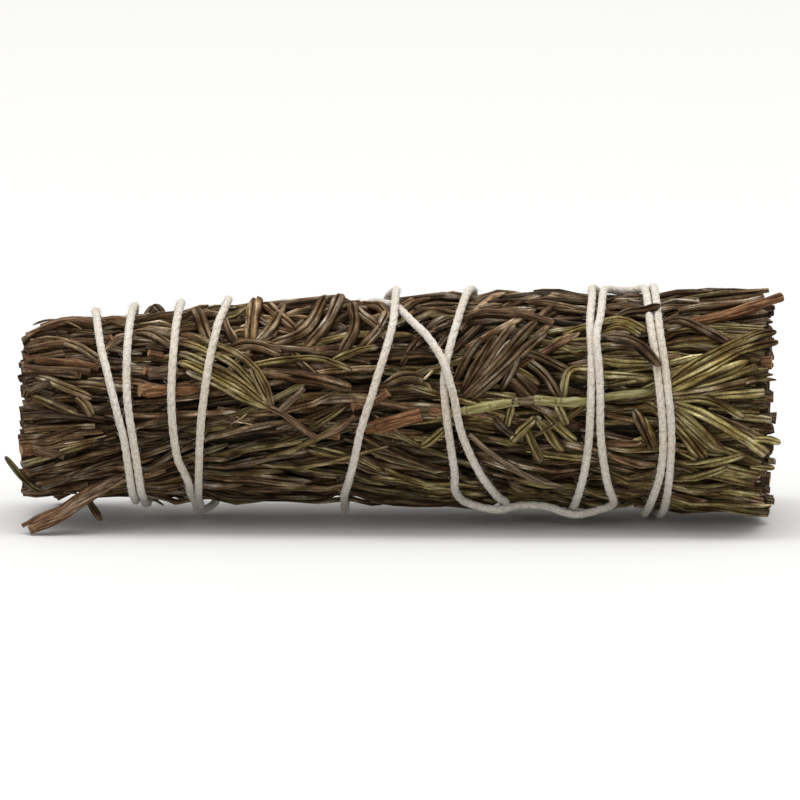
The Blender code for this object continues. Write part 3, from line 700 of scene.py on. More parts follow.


# the flow of the needles, zone by zone: the first zone that holds a place is the one that counts.
# x and angle are ranges, head is the heading's middle and spread in degrees
# light is partly the needles' own lightness and partly painted light: lighter on top, darker low down and
# underneath
zoneParts = ("name", "x", "angle", "green", "head", "length", "width", "bend", "light")
zoneRows = [
    ("topTangle", (-27, 3), (42, 92), 0.08, (8, 42), (9, 15), 1.45, 55, 1.35),
    ("longStems", (-36, 4), (-6, 30), 0.06, (2, 8), (15, 24), 1.25, 20, 0.82),
    ("cutEndTop", (-60, -32), (22, 100), 0.08, (-9, 8), (12, 19), 1.25, 14, 1.0),
    ("cutEndFront", (-60, -34), (-12, 22), 0.06, (-2, 7), (13, 20), 1.2, 12, 0.9),
    ("cutEndLow", (-60, -34), (-90, -12), 0.1, (9, 8), (13, 20), 1.15, 12, 0.85),
    ("lowRise", (-34, -10), (-56, -6), 0.36, (16, 9), (13, 20), 1.12, 22, 0.8),
    ("lowFall", (-10, 12), (-56, -12), 0.5, (-18, 13), (12, 18), 1.12, 22, 0.8),
    ("lowRight", (12, 30), (-56, -18), 0.55, (-7, 13), (13, 20), 1.15, 22, 0.8),
    ("middleFan", (5, 24), (20, 58), 0.18, (38, 22), (11, 16), 1.35, 16, 1.15),
    ("topRight", (3, 60), (50, 110), 0.12, (0, 9), (13, 19), 1.25, 16, 0.8),
    ("leafEnd", (26, 60), (-90, 50), 0.84, (-2, 16), (13, 19), 1.3, 16, 1.12),
    ("middle", (0, 30), (-20, 22), 0.6, (-4, 16), (12, 17), 1.25, 14, 0.95),
    ("underside", (-34, 30), (-96, -56), 0.45, (0, 6), (14, 20), 1.3, 10, 0.8),
    ("farSide", (-60, 60), (-200, 200), 0.4, (2, 10), (13, 19), 1.25, 14, 0.95),
]
zones = [dict(zip(zoneParts, row)) for row in zoneRows]

# the needles' layers from the heart outwards. Spacing is between lanes, overlap the share of a
# needle's length before the next one, and wild how far they stray from the zone's heading
# light is painted shade: the deeper a layer lies, the darker its needles
layers = [
    {"depth": 3.0, "spacing": 1.35, "overlap": 0.95, "wild": 0.35, "light": 0.40},
    {"depth": 2.1, "spacing": 1.30, "overlap": 0.90, "wild": 0.6, "light": 0.55},
    {"depth": 1.25, "spacing": 1.35, "overlap": 0.90, "wild": 0.85, "light": 0.80},
    {"depth": 0.50, "spacing": 1.75, "overlap": 0.95, "wild": 1.0, "light": 1.0},
    {"depth": 0.0, "spacing": 3.4, "overlap": 1.15, "wild": 1.25, "light": 1.12},
]

needle = {
    "forward": 0.8,            # share that points to the leafy end
    "tuck": (0.5, 1.4),        # how deep the root lies under the others
    "tip": (-0.15, 0.25),      # and the tip
    "lifted": 0.04,            # share whose tip stands up, and how deep that one lies
    "liftedTip": (-0.9, -0.5),
    "turned": 0.22,            # share that shows its felted side
    "darkest": 0.54,           # the darkest one's lightness, as a share of the zone's
    "lightRare": 1.5,          # over 1, light needles are rarer than dark ones
}


def zoneAt(x, angle):
    turned = (angle + 180) % 360 - 180
    for zone in zones:
        inX = zone["x"][0] <= x <= zone["x"][1]
        inAngle = zone["angle"][0] <= turned <= zone["angle"][1]
        if inX and inAngle:
            return zone
    return zones[-1]


def layNeedle(x, angle, depth, zone, wild, light):
    length = chance.uniform(*zone["length"])
    middle, spread = zone["head"]
    heading = middle * min(1, wild) + chance.gauss(0, spread * wild * 0.6)
    bow = chance.gauss(0, zone["bend"] * 0.5)
    steps = np.linspace(0, 1, 9)
    way = np.radians(heading + bow * (steps - 0.5) * 2)
    toward = 1 if chance.random() < needle["forward"] else -1
    xs = x + toward * length * (np.cumsum(np.cos(way)) - np.cos(way[0])) / 8
    arcs = toward * length * (np.cumsum(np.sin(way)) - np.sin(way[0])) / 8
    angles = angle + np.degrees(arcs / (radiusAt(x) - depth))
    tuck = chance.uniform(*needle["tuck"])
    lifted = chance.random() < needle["lifted"] and math.sin(math.radians(angle)) > -0.3
    tip = chance.uniform(*needle["liftedTip" if lifted else "tip"])
    depths = depth + tuck * (1 - steps) ** 2 + tip * steps**2
    green = 1.0 if chance.random() < zone["green"] else 0.0
    green = abs(green - chance.uniform(0, 0.40 if green else 0.16))
    own = needle["darkest"] + chance.random() ** needle["lightRare"]
    # its lightness holds painted shade by layer depth and painted light by zone
    tone = (green, 0.5 * light * zone["light"] * own, chance.random())
    width = zone["width"] * chance.uniform(0.82, 1.15)
    thick = width * chance.uniform(0.74, 0.95)
    roll = chance.gauss(0, 28) + (180 if chance.random() < needle["turned"] else 0)
    layOn("needle", xs, angles, depths, width, thick, tone, roll, chance.gauss(0, 30))


def layLayers():
    for layer in layers:
        count = 0
        radius = bundle["laneRadius"] - layer["depth"]
        lanes = round(2 * math.pi * radius / layer["spacing"])
        for lane in range(lanes):
            x = bundle["cutEnd"] - chance.uniform(2, 16)
            while x < bundle["leafEnd"]:
                angle = 360 * (lane + chance.uniform(-0.32, 0.32)) / lanes
                zone = zoneAt(x + 6, angle)
                depth = layer["depth"] + chance.uniform(-0.3, 0.3)
                layNeedle(x, angle, depth, zone, layer["wild"], layer["light"])
                x += sum(zone["length"]) / 2 * layer["overlap"] * chance.uniform(0.8, 1.15)
                count += 1
        print("layer", layer["depth"], "needles", count)


layLayers()


# needles and stems that are placed one by one, along pixels of the photograph. Each row holds
# the pixels, width in mm, how green it is, how light it is, and how deep it lies under the others

leafFan = [
    ([(652, 392), (700, 360), (760, 331)], 1.35, 0.95, 1.15, -0.25),
    ([(640, 390), (690, 365), (757, 340)], 1.3, 0.9, 0.95, 0.1),
    ([(655, 394), (700, 372), (741, 351)], 1.4, 1.0, 1.35, -0.35),
    ([(655, 396), (705, 378), (748, 361)], 1.55, 1.0, 1.45, -0.35),
    ([(655, 396), (712, 382), (771, 361)], 1.35, 0.95, 1.15, -0.1),
    ([(655, 397), (712, 389), (770, 375)], 1.25, 0.9, 1.05, 0.0),
    ([(652, 397), (700, 392), (746, 383)], 1.2, 0.35, 1.1, -0.35),
    ([(655, 399), (715, 396), (771, 392)], 1.35, 0.95, 1.15, -0.1),
    ([(664, 400), (712, 400), (744, 418)], 1.2, 1.0, 1.05, -0.15),
    ([(672, 402), (716, 421), (750, 443), (771, 458)], 1.6, 1.0, 1.25, -0.45),
    ([(660, 402), (690, 420), (723, 449)], 1.45, 0.95, 1.1, -0.2),
    ([(655, 403), (685, 425), (713, 449)], 1.35, 0.9, 1.0, -0.1),
    ([(652, 404), (683, 430), (707, 457)], 1.4, 0.95, 1.05, -0.3),
    ([(648, 405), (674, 428), (700, 458)], 1.3, 0.85, 0.95, -0.1),
    ([(645, 402), (668, 416), (688, 431)], 1.3, 0.8, 0.9, -0.35),
    ([(700, 412), (740, 428), (772, 446)], 1.3, 0.2, 0.85, 0.05),
    ([(690, 440), (730, 452), (768, 470)], 1.25, 0.85, 0.95, 0.0),
    ([(675, 470), (712, 462), (746, 455)], 1.2, 1.0, 1.15, -0.2),
    ([(672, 488), (700, 476), (728, 466)], 1.2, 1.0, 1.15, -0.2),
    ([(642, 419), (650, 434), (658, 450)], 1.5, 1.0, 1.15, -0.3),
    ([(634, 410), (643, 428), (653, 451)], 1.45, 0.1, 0.85, -0.2),
    ([(563, 331), (585, 321), (620, 318), (648, 327)], 1.15, 1.0, 1.35, -0.35),
    ([(604, 322), (622, 324), (640, 332)], 1.1, 1.0, 1.1, -0.1),
    ([(604, 332), (632, 342), (660, 368)], 1.6, 0.08, 0.8, [-0.3, -1.3, -2.5]),
    ([(612, 314), (635, 312), (660, 311)], 1.15, 0.05, 0.7, [-0.1, -1.2, -2.4]),
    ([(669, 315), (700, 327), (728, 341)], 1.35, 0.05, 0.85, -0.25),
    ([(590, 355), (622, 362), (655, 360)], 1.25, 0.9, 1.05, 0.0),
    ([(575, 372), (610, 374), (650, 378)], 1.3, 0.85, 1.05, 0.0),
    ([(600, 384), (640, 378), (680, 370)], 1.25, 0.8, 0.95, 0.1),
]
middleFan = [
    ([(462, 390), (478, 362), (496, 335)], 1.35, 0.1, 1.05, -0.2),
    ([(464, 392), (488, 358), (514, 325)], 1.4, 0.05, 1.1, -0.3),
    ([(468, 394), (492, 366), (512, 340)], 1.3, 0.12, 1.0, -0.1),
    ([(464, 397), (505, 356), (536, 321)], 1.45, 0.1, 1.15, -0.4),
    ([(470, 400), (512, 362), (546, 331)], 1.4, 0.05, 1.05, -0.3),
    ([(455, 380), (470, 352), (482, 336)], 1.3, 0.08, 0.95, -0.1),
    ([(500, 390), (512, 372), (524, 345)], 1.3, 0.05, 0.8, -0.1),
    ([(510, 371), (521, 382), (535, 397)], 3.2, 0.02, 0.8, -0.35),
    ([(528, 360), (545, 375), (560, 398)], 1.4, 0.05, 0.8, -0.2),
    ([(536, 418), (524, 430), (511, 443)], 1.4, 0.95, 1.2, -0.35),
    ([(524, 425), (532, 444), (541, 463)], 1.35, 0.75, 0.95, -0.2),
    ([(536, 418), (549, 434), (563, 452)], 1.45, 0.95, 1.15, -0.3),
    ([(545, 414), (560, 428), (576, 443)], 1.35, 0.95, 1.1, -0.25),
    ([(553, 398), (561, 412), (567, 425)], 1.25, 0.95, 1.1, -0.35),
    ([(506, 431), (509, 417), (512, 405)], 1.15, 0.9, 1.05, -0.2),
    ([(490, 412), (502, 428), (524, 442)], 1.25, 0.05, 0.75, -0.1),
    ([(421, 449), (433, 440), (444, 431)], 1.2, 1.0, 1.25, -0.3),
    ([(384, 384), (405, 377), (424, 379)], 1.8, 0.05, 1.2, -0.3),
    ([(562, 403), (570, 370), (592, 366)], 1.2, 0.8, 1.25, -0.3),
    ([(480, 372), (505, 366), (540, 384)], 1.2, 0.8, 1.0, 0.1),
    ([(500, 345), (530, 352), (572, 372)], 1.25, 0.15, 0.85, 0.1),
]
topCurls = [
    ([(225, 347), (251, 345), (281, 354)], 1.75, 0.05, 1.0, -0.35),
    ([(250, 343), (252, 320), (258, 296)], 2.1, 0.15, 1.75, -0.45),
    ([(255, 343), (272, 326), (284, 303)], 1.5, 0.08, 1.1, -0.35),
    ([(266, 344), (300, 331), (327, 295)], 1.6, 0.08, 1.1, -0.4),
    ([(303, 347), (326, 322), (342, 294)], 1.7, 0.05, 1.05, -0.45),
    ([(262, 297), (278, 312), (295, 326)], 1.6, 0.1, 1.45, -0.2),
    ([(339, 354), (354, 330), (352, 303)], 1.65, 0.08, 0.95, -0.4),
    ([(352, 303), (366, 318), (384, 328)], 1.4, 0.08, 0.95, -0.3),
    ([(360, 296), (378, 302), (392, 316)], 1.5, 0.1, 1.15, -0.2),
    ([(358, 350), (374, 332), (388, 306)], 1.5, 0.08, 1.0, -0.3),
    ([(235, 370), (280, 361), (318, 358), (352, 370)], 1.0, 0.75, 1.0, -0.4),
    ([(330, 360), (352, 352), (378, 344)], 1.1, 0.7, 1.0, -0.2),
    ([(255, 370), (300, 376), (352, 388)], 1.9, 0.05, 1.0, -0.3),
    ([(215, 344), (205, 325), (194, 303)], 1.7, 0.05, 0.95, -0.3),
    ([(238, 345), (228, 325), (222, 310)], 1.5, 0.08, 1.1, -0.2),
    ([(290, 345), (300, 360), (318, 378)], 1.2, 0.1, 0.9, -0.1),
]
looseSprig = [
    ([(273, 409), (262, 378), (240, 356), (180, 331)], 1.15, 0.45, 1.3, -0.6),
    ([(271, 407), (252, 382), (226, 358), (180, 339)], 1.05, 0.75, 1.3, -0.35),
    ([(272, 409), (243, 384), (214, 366), (178, 350)], 1.3, 0.55, 1.05, -0.5),
    ([(271, 409), (236, 389), (206, 372), (178, 359)], 1.25, 0.95, 1.45, -0.45),
    ([(272, 410), (246, 400), (212, 381), (186, 370)], 1.15, 0.8, 0.95, -0.3),
    ([(268, 402), (258, 384), (251, 367)], 1.1, 0.5, 1.1, -0.4),
    ([(262, 402), (244, 396), (222, 390)], 1.0, 0.25, 0.85, -0.1),
    ([(130, 322), (150, 330), (178, 344)], 1.3, 0.1, 0.95, -0.1),
    ([(30, 336), (70, 340), (108, 362)], 1.35, 0.15, 1.2, -0.2),
    ([(33, 372), (62, 385), (92, 398)], 1.3, 0.2, 1.1, -0.1),
    ([(30, 395), (52, 404), (78, 414)], 1.35, 0.35, 0.8, -0.1),
    ([(77, 396), (84, 404), (92, 416)], 1.5, 0.3, 1.05, -0.3),
    ([(24, 445), (45, 446), (66, 440)], 1.15, 0.15, 0.95, -0.1),
    ([(44, 472), (80, 462), (128, 447)], 1.2, 0.15, 1.0, -0.2),
]
strays = [
    ([(236, 416), (243, 420), (251, 419)], 0.22, 0.3, 2.6, -0.5),
    ([(234, 421), (243, 422), (252, 424)], 0.2, 0.3, 2.4, -0.5),
    ([(230, 424), (241, 418), (247, 413)], 0.2, 0.3, 2.2, -0.5),
    ([(424, 380), (430, 374), (433, 371)], 0.45, 0.3, 2.2, -0.6),
    ([(424, 383), (429, 386), (431, 391)], 0.4, 0.3, 2.4, -0.6),
    ([(54, 497), (26, 482), (5, 457)], 1.05, 0.9, 0.55, [0.6, 0.0, -0.2]),
    ([(74, 500), (44, 500), (24, 495)], 1.0, 0.95, 0.8, [1.0, 0.5, 0.3]),
    ([(84, 322), (58, 321), (33, 321)], 0.42, 0.6, 0.9, [0.8, 0.0, -0.2]),
    ([(146, 309), (155, 300), (164, 306)], 1.6, 0.0, 0.55, [0.5, -0.1, 0.5]),
    ([(735, 345), (757, 336), (776, 331)], 1.25, 0.6, 1.0, -0.2),
    ([(738, 352), (760, 345), (778, 341)], 1.2, 0.7, 1.1, -0.1),
    ([(752, 440), (770, 441), (781, 444)], 1.1, 1.0, 1.35, -0.2),
    ([(750, 467), (764, 468), (775, 469)], 1.0, 0.9, 1.25, -0.1),
    ([(30, 388), (27, 392), (24, 398)], 0.9, 0.2, 1.2, -0.2),
]
# the same for stems, with how grey the bark is in place of how green, and the kind of stem
stems = [
    ([(436, 417), (450, 414), (467, 411)], 1.3, 0.0, 1.1, -0.45, "greenStem"),
    ([(468, 411), (490, 406), (518, 402)], 1.4, 0.0, 1.2, -0.55, "greenStem"),
    ([(512, 402), (526, 401), (541, 400)], 1.36, 0.8, 0.95, -0.54, "stem"),
    ([(534, 400), (560, 402), (590, 402)], 1.35, 0.0, 1.05, -0.5, "greenStem"),
    ([(586, 402), (612, 396), (640, 393), (664, 391)], 1.15, 0.0, 0.9, [-0.2, -0.2, 0.1, 1.2], "greenStem"),
    ([(469, 437), (501, 461), (526, 476), (562, 488)], 0.85, 0.95, 1.45, -0.25, "stem"),
    ([(421, 415), (400, 421), (366, 432)], 2.0, 0.05, 1.15, -0.2, "stem"),
    ([(270, 408), (283, 414), (296, 424), (317, 438)], 1.0, 0.55, 0.95, -0.35, "stem"),
    ([(322, 437), (338, 430), (355, 418)], 0.95, 0.6, 1.05, -0.25, "stem"),
    ([(279, 411), (290, 402), (304, 388)], 0.8, 0.85, 1.15, -0.4, "stem"),
    ([(146, 391), (172, 389), (204, 388)], 1.9, 0.1, 1.05, [-0.2, -0.1, 0.5], "stem"),
    ([(148, 372), (160, 370), (178, 368)], 2.0, 0.8, 0.9, -0.1, "stem"),
    ([(21, 357), (60, 359), (98, 362)], 1.35, 0.15, 0.85, [-0.1, 0.0, 0.5], "stem"),
    ([(22, 366), (48, 368), (90, 370)], 1.05, 0.45, 0.7, -0.1, "stem"),
    ([(26, 346), (60, 340), (112, 333)], 1.15, 0.35, 0.85, 0.0, "stem"),
    ([(42, 326), (80, 317), (128, 313)], 1.25, 0.35, 0.95, -0.1, "stem"),
    ([(24, 452), (38, 453), (64, 458)], 2.1, 0.5, 0.85, 0.3, "stem"),
    ([(662, 324), (700, 317), (740, 308), (781, 297)], 1.55, 0.05, 1.15, [1.6, 0.3, -0.3, -0.5], "stem"),
    ([(388, 392), (372, 402), (352, 408)], 1.6, 0.15, 1.1, 0.0, "stem"),
    ([(478, 307), (510, 310), (552, 318)], 1.3, 0.45, 0.8, 0.1, "stem"),
]


byHand = {
    "points": 11,
    "mmPerDegree": 0.26,
    "width": 1.1,          # how much wider than read, because the edges roll away from the camera
    "thick": 0.8,
    "stemThick": 0.9,
    "rootTuck": 0.7,       # how deep the root lies under the others
    "light": 1.02,
    "brownFan": 0.72,      # how light the middle fan's brown needles are, and its green ones
    "greenFan": 0.95,
    "openFrom": 775,       # stems that end right of this pixel reach out of the bundle
}


def alongPhoto(pixels, depth):
    # places (x, angle, depth) smoothly through pixels of the photograph
    marks = [seenAt(pixel) for pixel in pixels]
    run = [0.0]
    for a, b in zip(marks, marks[1:]):
        run.append(run[-1] + math.hypot(b[0] - a[0], (b[1] - a[1]) * byHand["mmPerDegree"]))
    rows = np.column_stack([run, marks, readAlong(depth, np.linspace(0, 1, len(marks)))])
    return smoothThrough(rows, np.linspace(0, run[-1], byHand["points"])).T


def layByHand():
    fan = []
    for pixels, width, green, light, depth in middleFan:
        fan.append((pixels, width, green, light * byHand["brownFan" if green < 0.5 else "greenFan"], depth))
    for pixels, width, green, light, depth in leafFan + fan + topCurls + looseSprig:
        x, angle, depths = alongPhoto(pixels, depth)
        depths = depths + byHand["rootTuck"] * (1 - np.linspace(0, 1, len(x))) ** 3
        tone = (green, 0.5 * light * byHand["light"], chance.random())
        width *= byHand["width"]
        thick = width * byHand["thick"]
        layOn("fine", x, angle, depths, width, thick, tone, chance.gauss(0, 14), chance.gauss(0, 22))
    for pixels, width, green, light, depth in strays:
        tone = (green, 0.5 * light, chance.random())
        thick = width * byHand["thick"]
        layOn("fine", *alongPhoto(pixels, depth), width, thick, tone, chance.gauss(0, 14), 10, free=True)
    for pixels, width, grey, light, depth, kind in stems:
        tone = (grey, 0.5 * light, chance.random())
        thick = width * byHand["stemThick"]
        isOpen = pixels[-1][0] > byHand["openFrom"]
        layOn(kind, *alongPhoto(pixels, depth), width, thick, tone, chance.uniform(0, 360), free=isOpen)


layByHand()


# stems cut through that face the camera: pixel, lean along the bundle, width and lightness
cutStubs = [
    ((146, 390), -1.0, 1.9, 1.25),
    ((151, 370), -1.0, 1.3, 0.8),
    ((155, 352), -0.9, 1.0, 0.8),
    ((316, 438), 0.9, 1.05, 1.1),
    ((421, 413), 1.0, 1.5, 1.1),
    ((27, 453), -1.1, 1.9, 1.0),
]

# the two torn strips of bark that prop the cut end up, each under the string and down to the floor.
# held is (x, angle, height over the needles) where they lie on the bundle, and foot (x, y, z)
twigs = [
    {
        "name": "twigFrontBark", "node": "twig_front",
        "held": [(-33.0, -43, -1.5), (-36.5, -44, -0.8), (-40.0, -43.5, 0.35)],
        "foot": [(-45.4, -12.0, 4.9), (-49.2, -12.4, 2.6), (-52.9, -12.4, 0.95)],
        "strips": [
            # across, up, first and last share of the way, widths, thicknesses, grey, light
            (0.0, 0.0, 0.0, 1.0, [1.3, 1.8, 2.5, 2.9, 2.6], [0.9, 1.1, 1.3, 1.4, 1.3], 0.40, 1.15),
            (0.65, 0.35, 0.15, 0.93, [0.6, 1.1, 1.4, 1.0], [0.5, 0.8, 0.9, 0.6], 0.8, 1.45),
            (-0.75, 0.25, 0.45, 1.03, [0.4, 0.8, 0.9, 0.6], [0.4, 0.6, 0.7, 0.5], 0.15, 1.0),
            (0.2, 0.7, 0.30, 0.62, [0.3, 0.8, 0.5], [0.2, 0.4, 0.3], 0.95, 1.9),
        ],
    },
    {
        "name": "twigBackBark", "node": "twig_back",
        "held": [(-33.0, -135, -1.5), (-36.0, -135.5, -0.8), (-39.5, -136, 0.35)],
        "foot": [(-44.0, 11.4, 4.5), (-47.0, 11.7, 2.5), (-49.7, 11.8, 0.9)],
        "strips": [
            (0.0, 0.0, 0.0, 1.0, [1.1, 1.5, 2.0, 2.2, 2.1], [0.9, 1.0, 1.2, 1.3, 1.2], 0.2, 1.3),
            (-0.5, 0.35, 0.2, 0.92, [0.5, 0.9, 1.1, 0.7], [0.4, 0.7, 0.8, 0.5], 0.6, 1.5),
        ],
    },
]


strip = {
    "points": 24,
    "over": 0.45,          # how far over the bundle's radius the needles under a strip reach
    "wander": 0.00010,
}


def barkStrips(twig):
    held = np.array(twig["held"])
    onNeedles, _ = onBundle(held[:, 0], held[:, 1], radiusAt(held[:, 0]) + strip["over"] + held[:, 2])
    corners = np.vstack([onNeedles, np.array(twig["foot"]) / 1000])
    run = np.concatenate([[0], np.cumsum(np.linalg.norm(np.diff(corners, axis=0), axis=1))])
    run /= run[-1]
    rows = np.column_stack([run, corners])
    copies = []
    for across, up, first, last, widths, thicks, grey, light in twig["strips"]:
        points = smoothThrough(rows, np.linspace(first, last, strip["points"]))
        tangent = unit(np.gradient(points, axis=0))
        out = unit(np.cross(np.cross(tangent, [0, -0.6 if held[0, 1] > -90 else 0.6, 0.8]), tangent))
        side = np.cross(out, tangent)
        points = points + (side * across + out * up) / 1000
        for k in range(3):
            wave = np.sin(np.linspace(0, 9 + k, strip["points"]) + 2 * k + 5 * across)
            points[:, k] += strip["wander"] * wave
        tone = (grey, 0.5 * light, chance.random())
        copies.append(bentCopy("bark", points, out, widths, thicks, tone, 0, chance.uniform(-20, 20)))
    return copies


barkPieces = {twig["name"]: barkStrips(twig) for twig in twigs}
# a needle that hangs down beside the twig at the front
hanging = np.array([(-46.6, -5.0, 8.4), (-45.2, -7.2, 5.8), (-43.8, -8.8, 3.5), (-42.4, -9.0, 1.4)]) / 1000
hangingOut = np.tile(np.array([0.0, -0.8, 0.6]), (4, 1))
keepFor(12, bentCopy("fine", hanging, hangingOut, 1.1, 0.9, (0.1, 0.4, 0.5)))
for (px, py), lean, width, light in cutStubs:
    x, angle = seenAt((px, py))
    root, out = onBundle(np.array([x + 1.2]), np.array([angle]), radiusAt(x) - 0.6)
    way = unit(np.array([[lean, 0, 0]]) + out[:1] * 0.4)
    stub = root + way * np.array([[0.0], [0.8], [1.6], [2.3]]) / 1000
    keepFor(sprigAt(angle), bentCopy("stem", stub, np.tile(np.array([0, 0.3, 1.0]), (4, 1)), width, width,
                                     (0.15, 0.5 * light, chance.random()), 20))
print("bark strips done")


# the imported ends: stems and needles cut through, side by side over both faces

ends = {
    "tries": 5200,
    "spacing": 1.24,
    "length": 9.0,
    "inside": 0.6,         # how far they keep inside the bundle's radius
    "ragged": (-1.5, 0.5),     # how far each reaches past the face
    "narrowing": (0.90, 0.98),     # how much closer they lie deeper in the bundle
    "stemShare": 0.22,
    "stemWidth": (1.5, 2.3),
    "needleWidth": (1.1, 1.5),
    "greenShare": 0.7,     # at the leafy end
    "tipFrom": 0.8,        # share of the radius from where needles of that end keep their tips
    "tipShare": 0.6,
    "outerFrom": 0.60,     # share of the radius from where they belong to the outer sprigs,
    "innerFrom": 0.2,      # and to the sprigs round the middle one
    "innerSprigs": 6,
}


def packEnd(face, toward):
    # toward is the way out of the bundle at this face
    placed = []
    radius = float(radiusAt(face)) - ends["inside"]
    leafy = toward > 0
    for _ in range(ends["tries"]):
        r = radius * math.sqrt(chance.random())
        a = chance.uniform(0, 360)
        spot = (r * math.cos(math.radians(a)), r * math.sin(math.radians(a)))
        if any(math.dist(spot, other) < ends["spacing"] for other in placed):
            continue
        placed.append(spot)
        clump = 0.45 * math.sin(math.radians(3 * a) + 0.4 * r)
        clump += 0.35 * math.sin(math.radians(7 * a) - 0.5 * r)
        reach = face + toward * (chance.uniform(*ends["ragged"]) + clump)
        xs = np.linspace(face - toward * ends["length"], reach, 5)
        share = np.linspace(chance.uniform(*ends["narrowing"]), 1.0, 5)
        isStem = chance.random() < ends["stemShare"]
        points, out = onBundle(xs, np.full(5, a) + chance.gauss(0, 1.5) * (1 - share) * 20, r * share)
        width = chance.uniform(*ends["stemWidth" if isStem else "needleWidth"])
        thick = width if isStem else width * 0.75
        green = 0.75 if (leafy and chance.random() < ends["greenShare"]) else chance.uniform(0, 0.3)
        if isStem:
            green = chance.random()
        tone = (green, 0.5 * chance.uniform(0.6, 1.1), chance.random())
        kind = "stem" if isStem else "trimmed"
        if leafy and r > ends["tipFrom"] * radius and chance.random() < ends["tipShare"]:
            kind = "needle"
        copy = bentCopy(kind, points, out, width, thick, tone, chance.uniform(0, 360))
        if r > ends["outerFrom"] * radius:
            keepFor(sprigAt(a), copy)
        elif r > ends["innerFrom"] * radius:
            keepFor(sprigCount + 1 + int(a % 360 * ends["innerSprigs"] // 360), copy)
        else:
            keepFor(sprigCount + 1 + ends["innerSprigs"], copy)
    print("end at", face, "holds", len(placed))


packEnd(bundle["cutEnd"], -1)
packEnd(bundle["leafEnd"], 1)


def pickOnly(objects):
    bpy.ops.object.select_all(action="DESELECT")
    for obj in objects:
        obj.select_set(True)
    bpy.context.view_layer.objects.active = objects[0]


def joined(copies, name):
    for copy in copies:
        bpy.context.scene.collection.objects.link(copy)
    pickOnly(copies)
    if len(copies) > 1:
        bpy.ops.object.join()
    made = bpy.context.view_layer.objects.active
    made.name = name
    made.data.name = name
    made.select_set(False)
    return made


core = {
    "sides": 40,
    "rings": 12,
    "start": -49.5,
    "length": 99.5,
    "depth": 3.3,          # under the bundle's radius
    "endShare": 0.7,       # how much narrower its ends are
}


def heartBody():
    # the imported body under the needles, near black as painted shade
    rings = [i / core["rings"] - 0.5 for i in range(1, core["rings"])]
    obj = ringed("paintedShadeHeart", core["sides"], rings, radius=1, middle=0)
    bpy.ops.object.mode_set(mode="OBJECT")
    for vert in obj.data.vertices:
        x = core["start"] + (vert.co.x + 0.5) * core["length"]
        angle = math.degrees(math.atan2(vert.co.z, -vert.co.y))
        share = core["endShare"] if abs(vert.co.x) > 0.49 else 1.0
        depth = core["depth"] + 0.25 * math.sin(angle * 0.3) + 0.2 * math.sin(x * 0.7)
        radius = (float(radiusAt(x)) - depth) * share
        point, _ = onBundle(np.array([x]), np.array([angle]), radius)
        vert.co = Vector(point[0])
    obj.data.materials.append(heartShadeMaterial)
    bpy.ops.object.shade_smooth()
    obj.select_set(False)
    return obj


heart = heartBody()
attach(heart, "root")
for sprig in sorted(waiting):
    piece = joined(waiting[sprig], f"sprig{sprig:02d}Needles")
    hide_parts(f"sprig_{sprig:02d}")
    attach(piece, "root")
for twig in twigs:
    piece = joined(barkPieces[twig["name"]], twig["name"])
    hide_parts(twig["node"])
    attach(piece, "root")
print("sprigs and bark joined")


# the string

def tubeFrom(name, lines, radii, sides):
    # a curve object with one open line for each list of points, made a mesh
    curve = bpy.data.curves.new(name, "CURVE")
    curve.dimensions = "3D"
    curve.bevel_depth = 1.0
    curve.bevel_resolution = sides
    curve.use_fill_caps = True
    for points, radius in zip(lines, radii):
        spline = curve.splines.new("POLY")
        spline.points.add(len(points) - 1)
        flat = np.hstack([points, np.ones((len(points), 1))])
        spline.points.foreach_set("co", flat.ravel())
        spline.points.foreach_set("radius", np.full(len(points), 1.0) * radius)
    obj = bpy.data.objects.new(name, curve)
    bpy.context.scene.collection.objects.link(obj)
    pickOnly([obj])
    bpy.ops.object.convert(target="MESH")
    bpy.ops.object.mode_set(mode="EDIT")
    bpy.ops.mesh.select_all(action="SELECT")
    bpy.ops.mesh.remove_doubles(threshold=0.000001)
    bpy.ops.mesh.normals_make_consistent(inside=False)
    bpy.ops.object.mode_set(mode="OBJECT")
    bpy.ops.object.shade_smooth()
    obj.select_set(False)
    return obj


def pliesAlong(points, out, spread=1.0):
    # the plies' own lines, twisted round a centreline given in metres
    steps = np.linalg.norm(np.diff(points, axis=0), axis=1)
    run = np.concatenate([[0], np.cumsum(steps)]) * 1000
    tangent = unit(np.gradient(points, axis=0))
    across = unit(np.cross(out, tangent))
    up = np.cross(tangent, across)
    lines = []
    for ply in range(string["plies"]):
        turn = (2 * math.pi * (run / string["twist"] + ply / string["plies"]))[:, None]
        away = np.reshape(string["plyOffset"] * spread / 1000, (-1, 1))
        lines.append(points + (across * np.cos(turn) + up * np.sin(turn)) * away)
    return lines


def knotPaths(x, angle):
    # a tied knot: a small turn round the string, and two short tails that lie on the needles
    base = float(radiusAt(x)) + string["gap"] + string["radius"]
    t = np.linspace(0, 1, 22)
    around = 2 * math.pi * string["knotLoop"] * t
    coil = onBundle(x + 1.15 * np.cos(around), angle + np.degrees(1.3 * (t - 0.5) / base * 1.6),
                    base + 0.75 + 1.05 * np.sin(around))
    tails = []
    for side, length in string["knotTails"]:
        run = np.linspace(0, 1, 12)
        xs = x + side * (0.8 + length * run)
        angles = angle + side * 9 * run**2 - 4 * run
        tails.append(onBundle(xs, angles, radiusAt(xs) + 1.4 - 0.3 * run + 0.5 * np.sin(3.1 * run)))
    return [coil] + tails


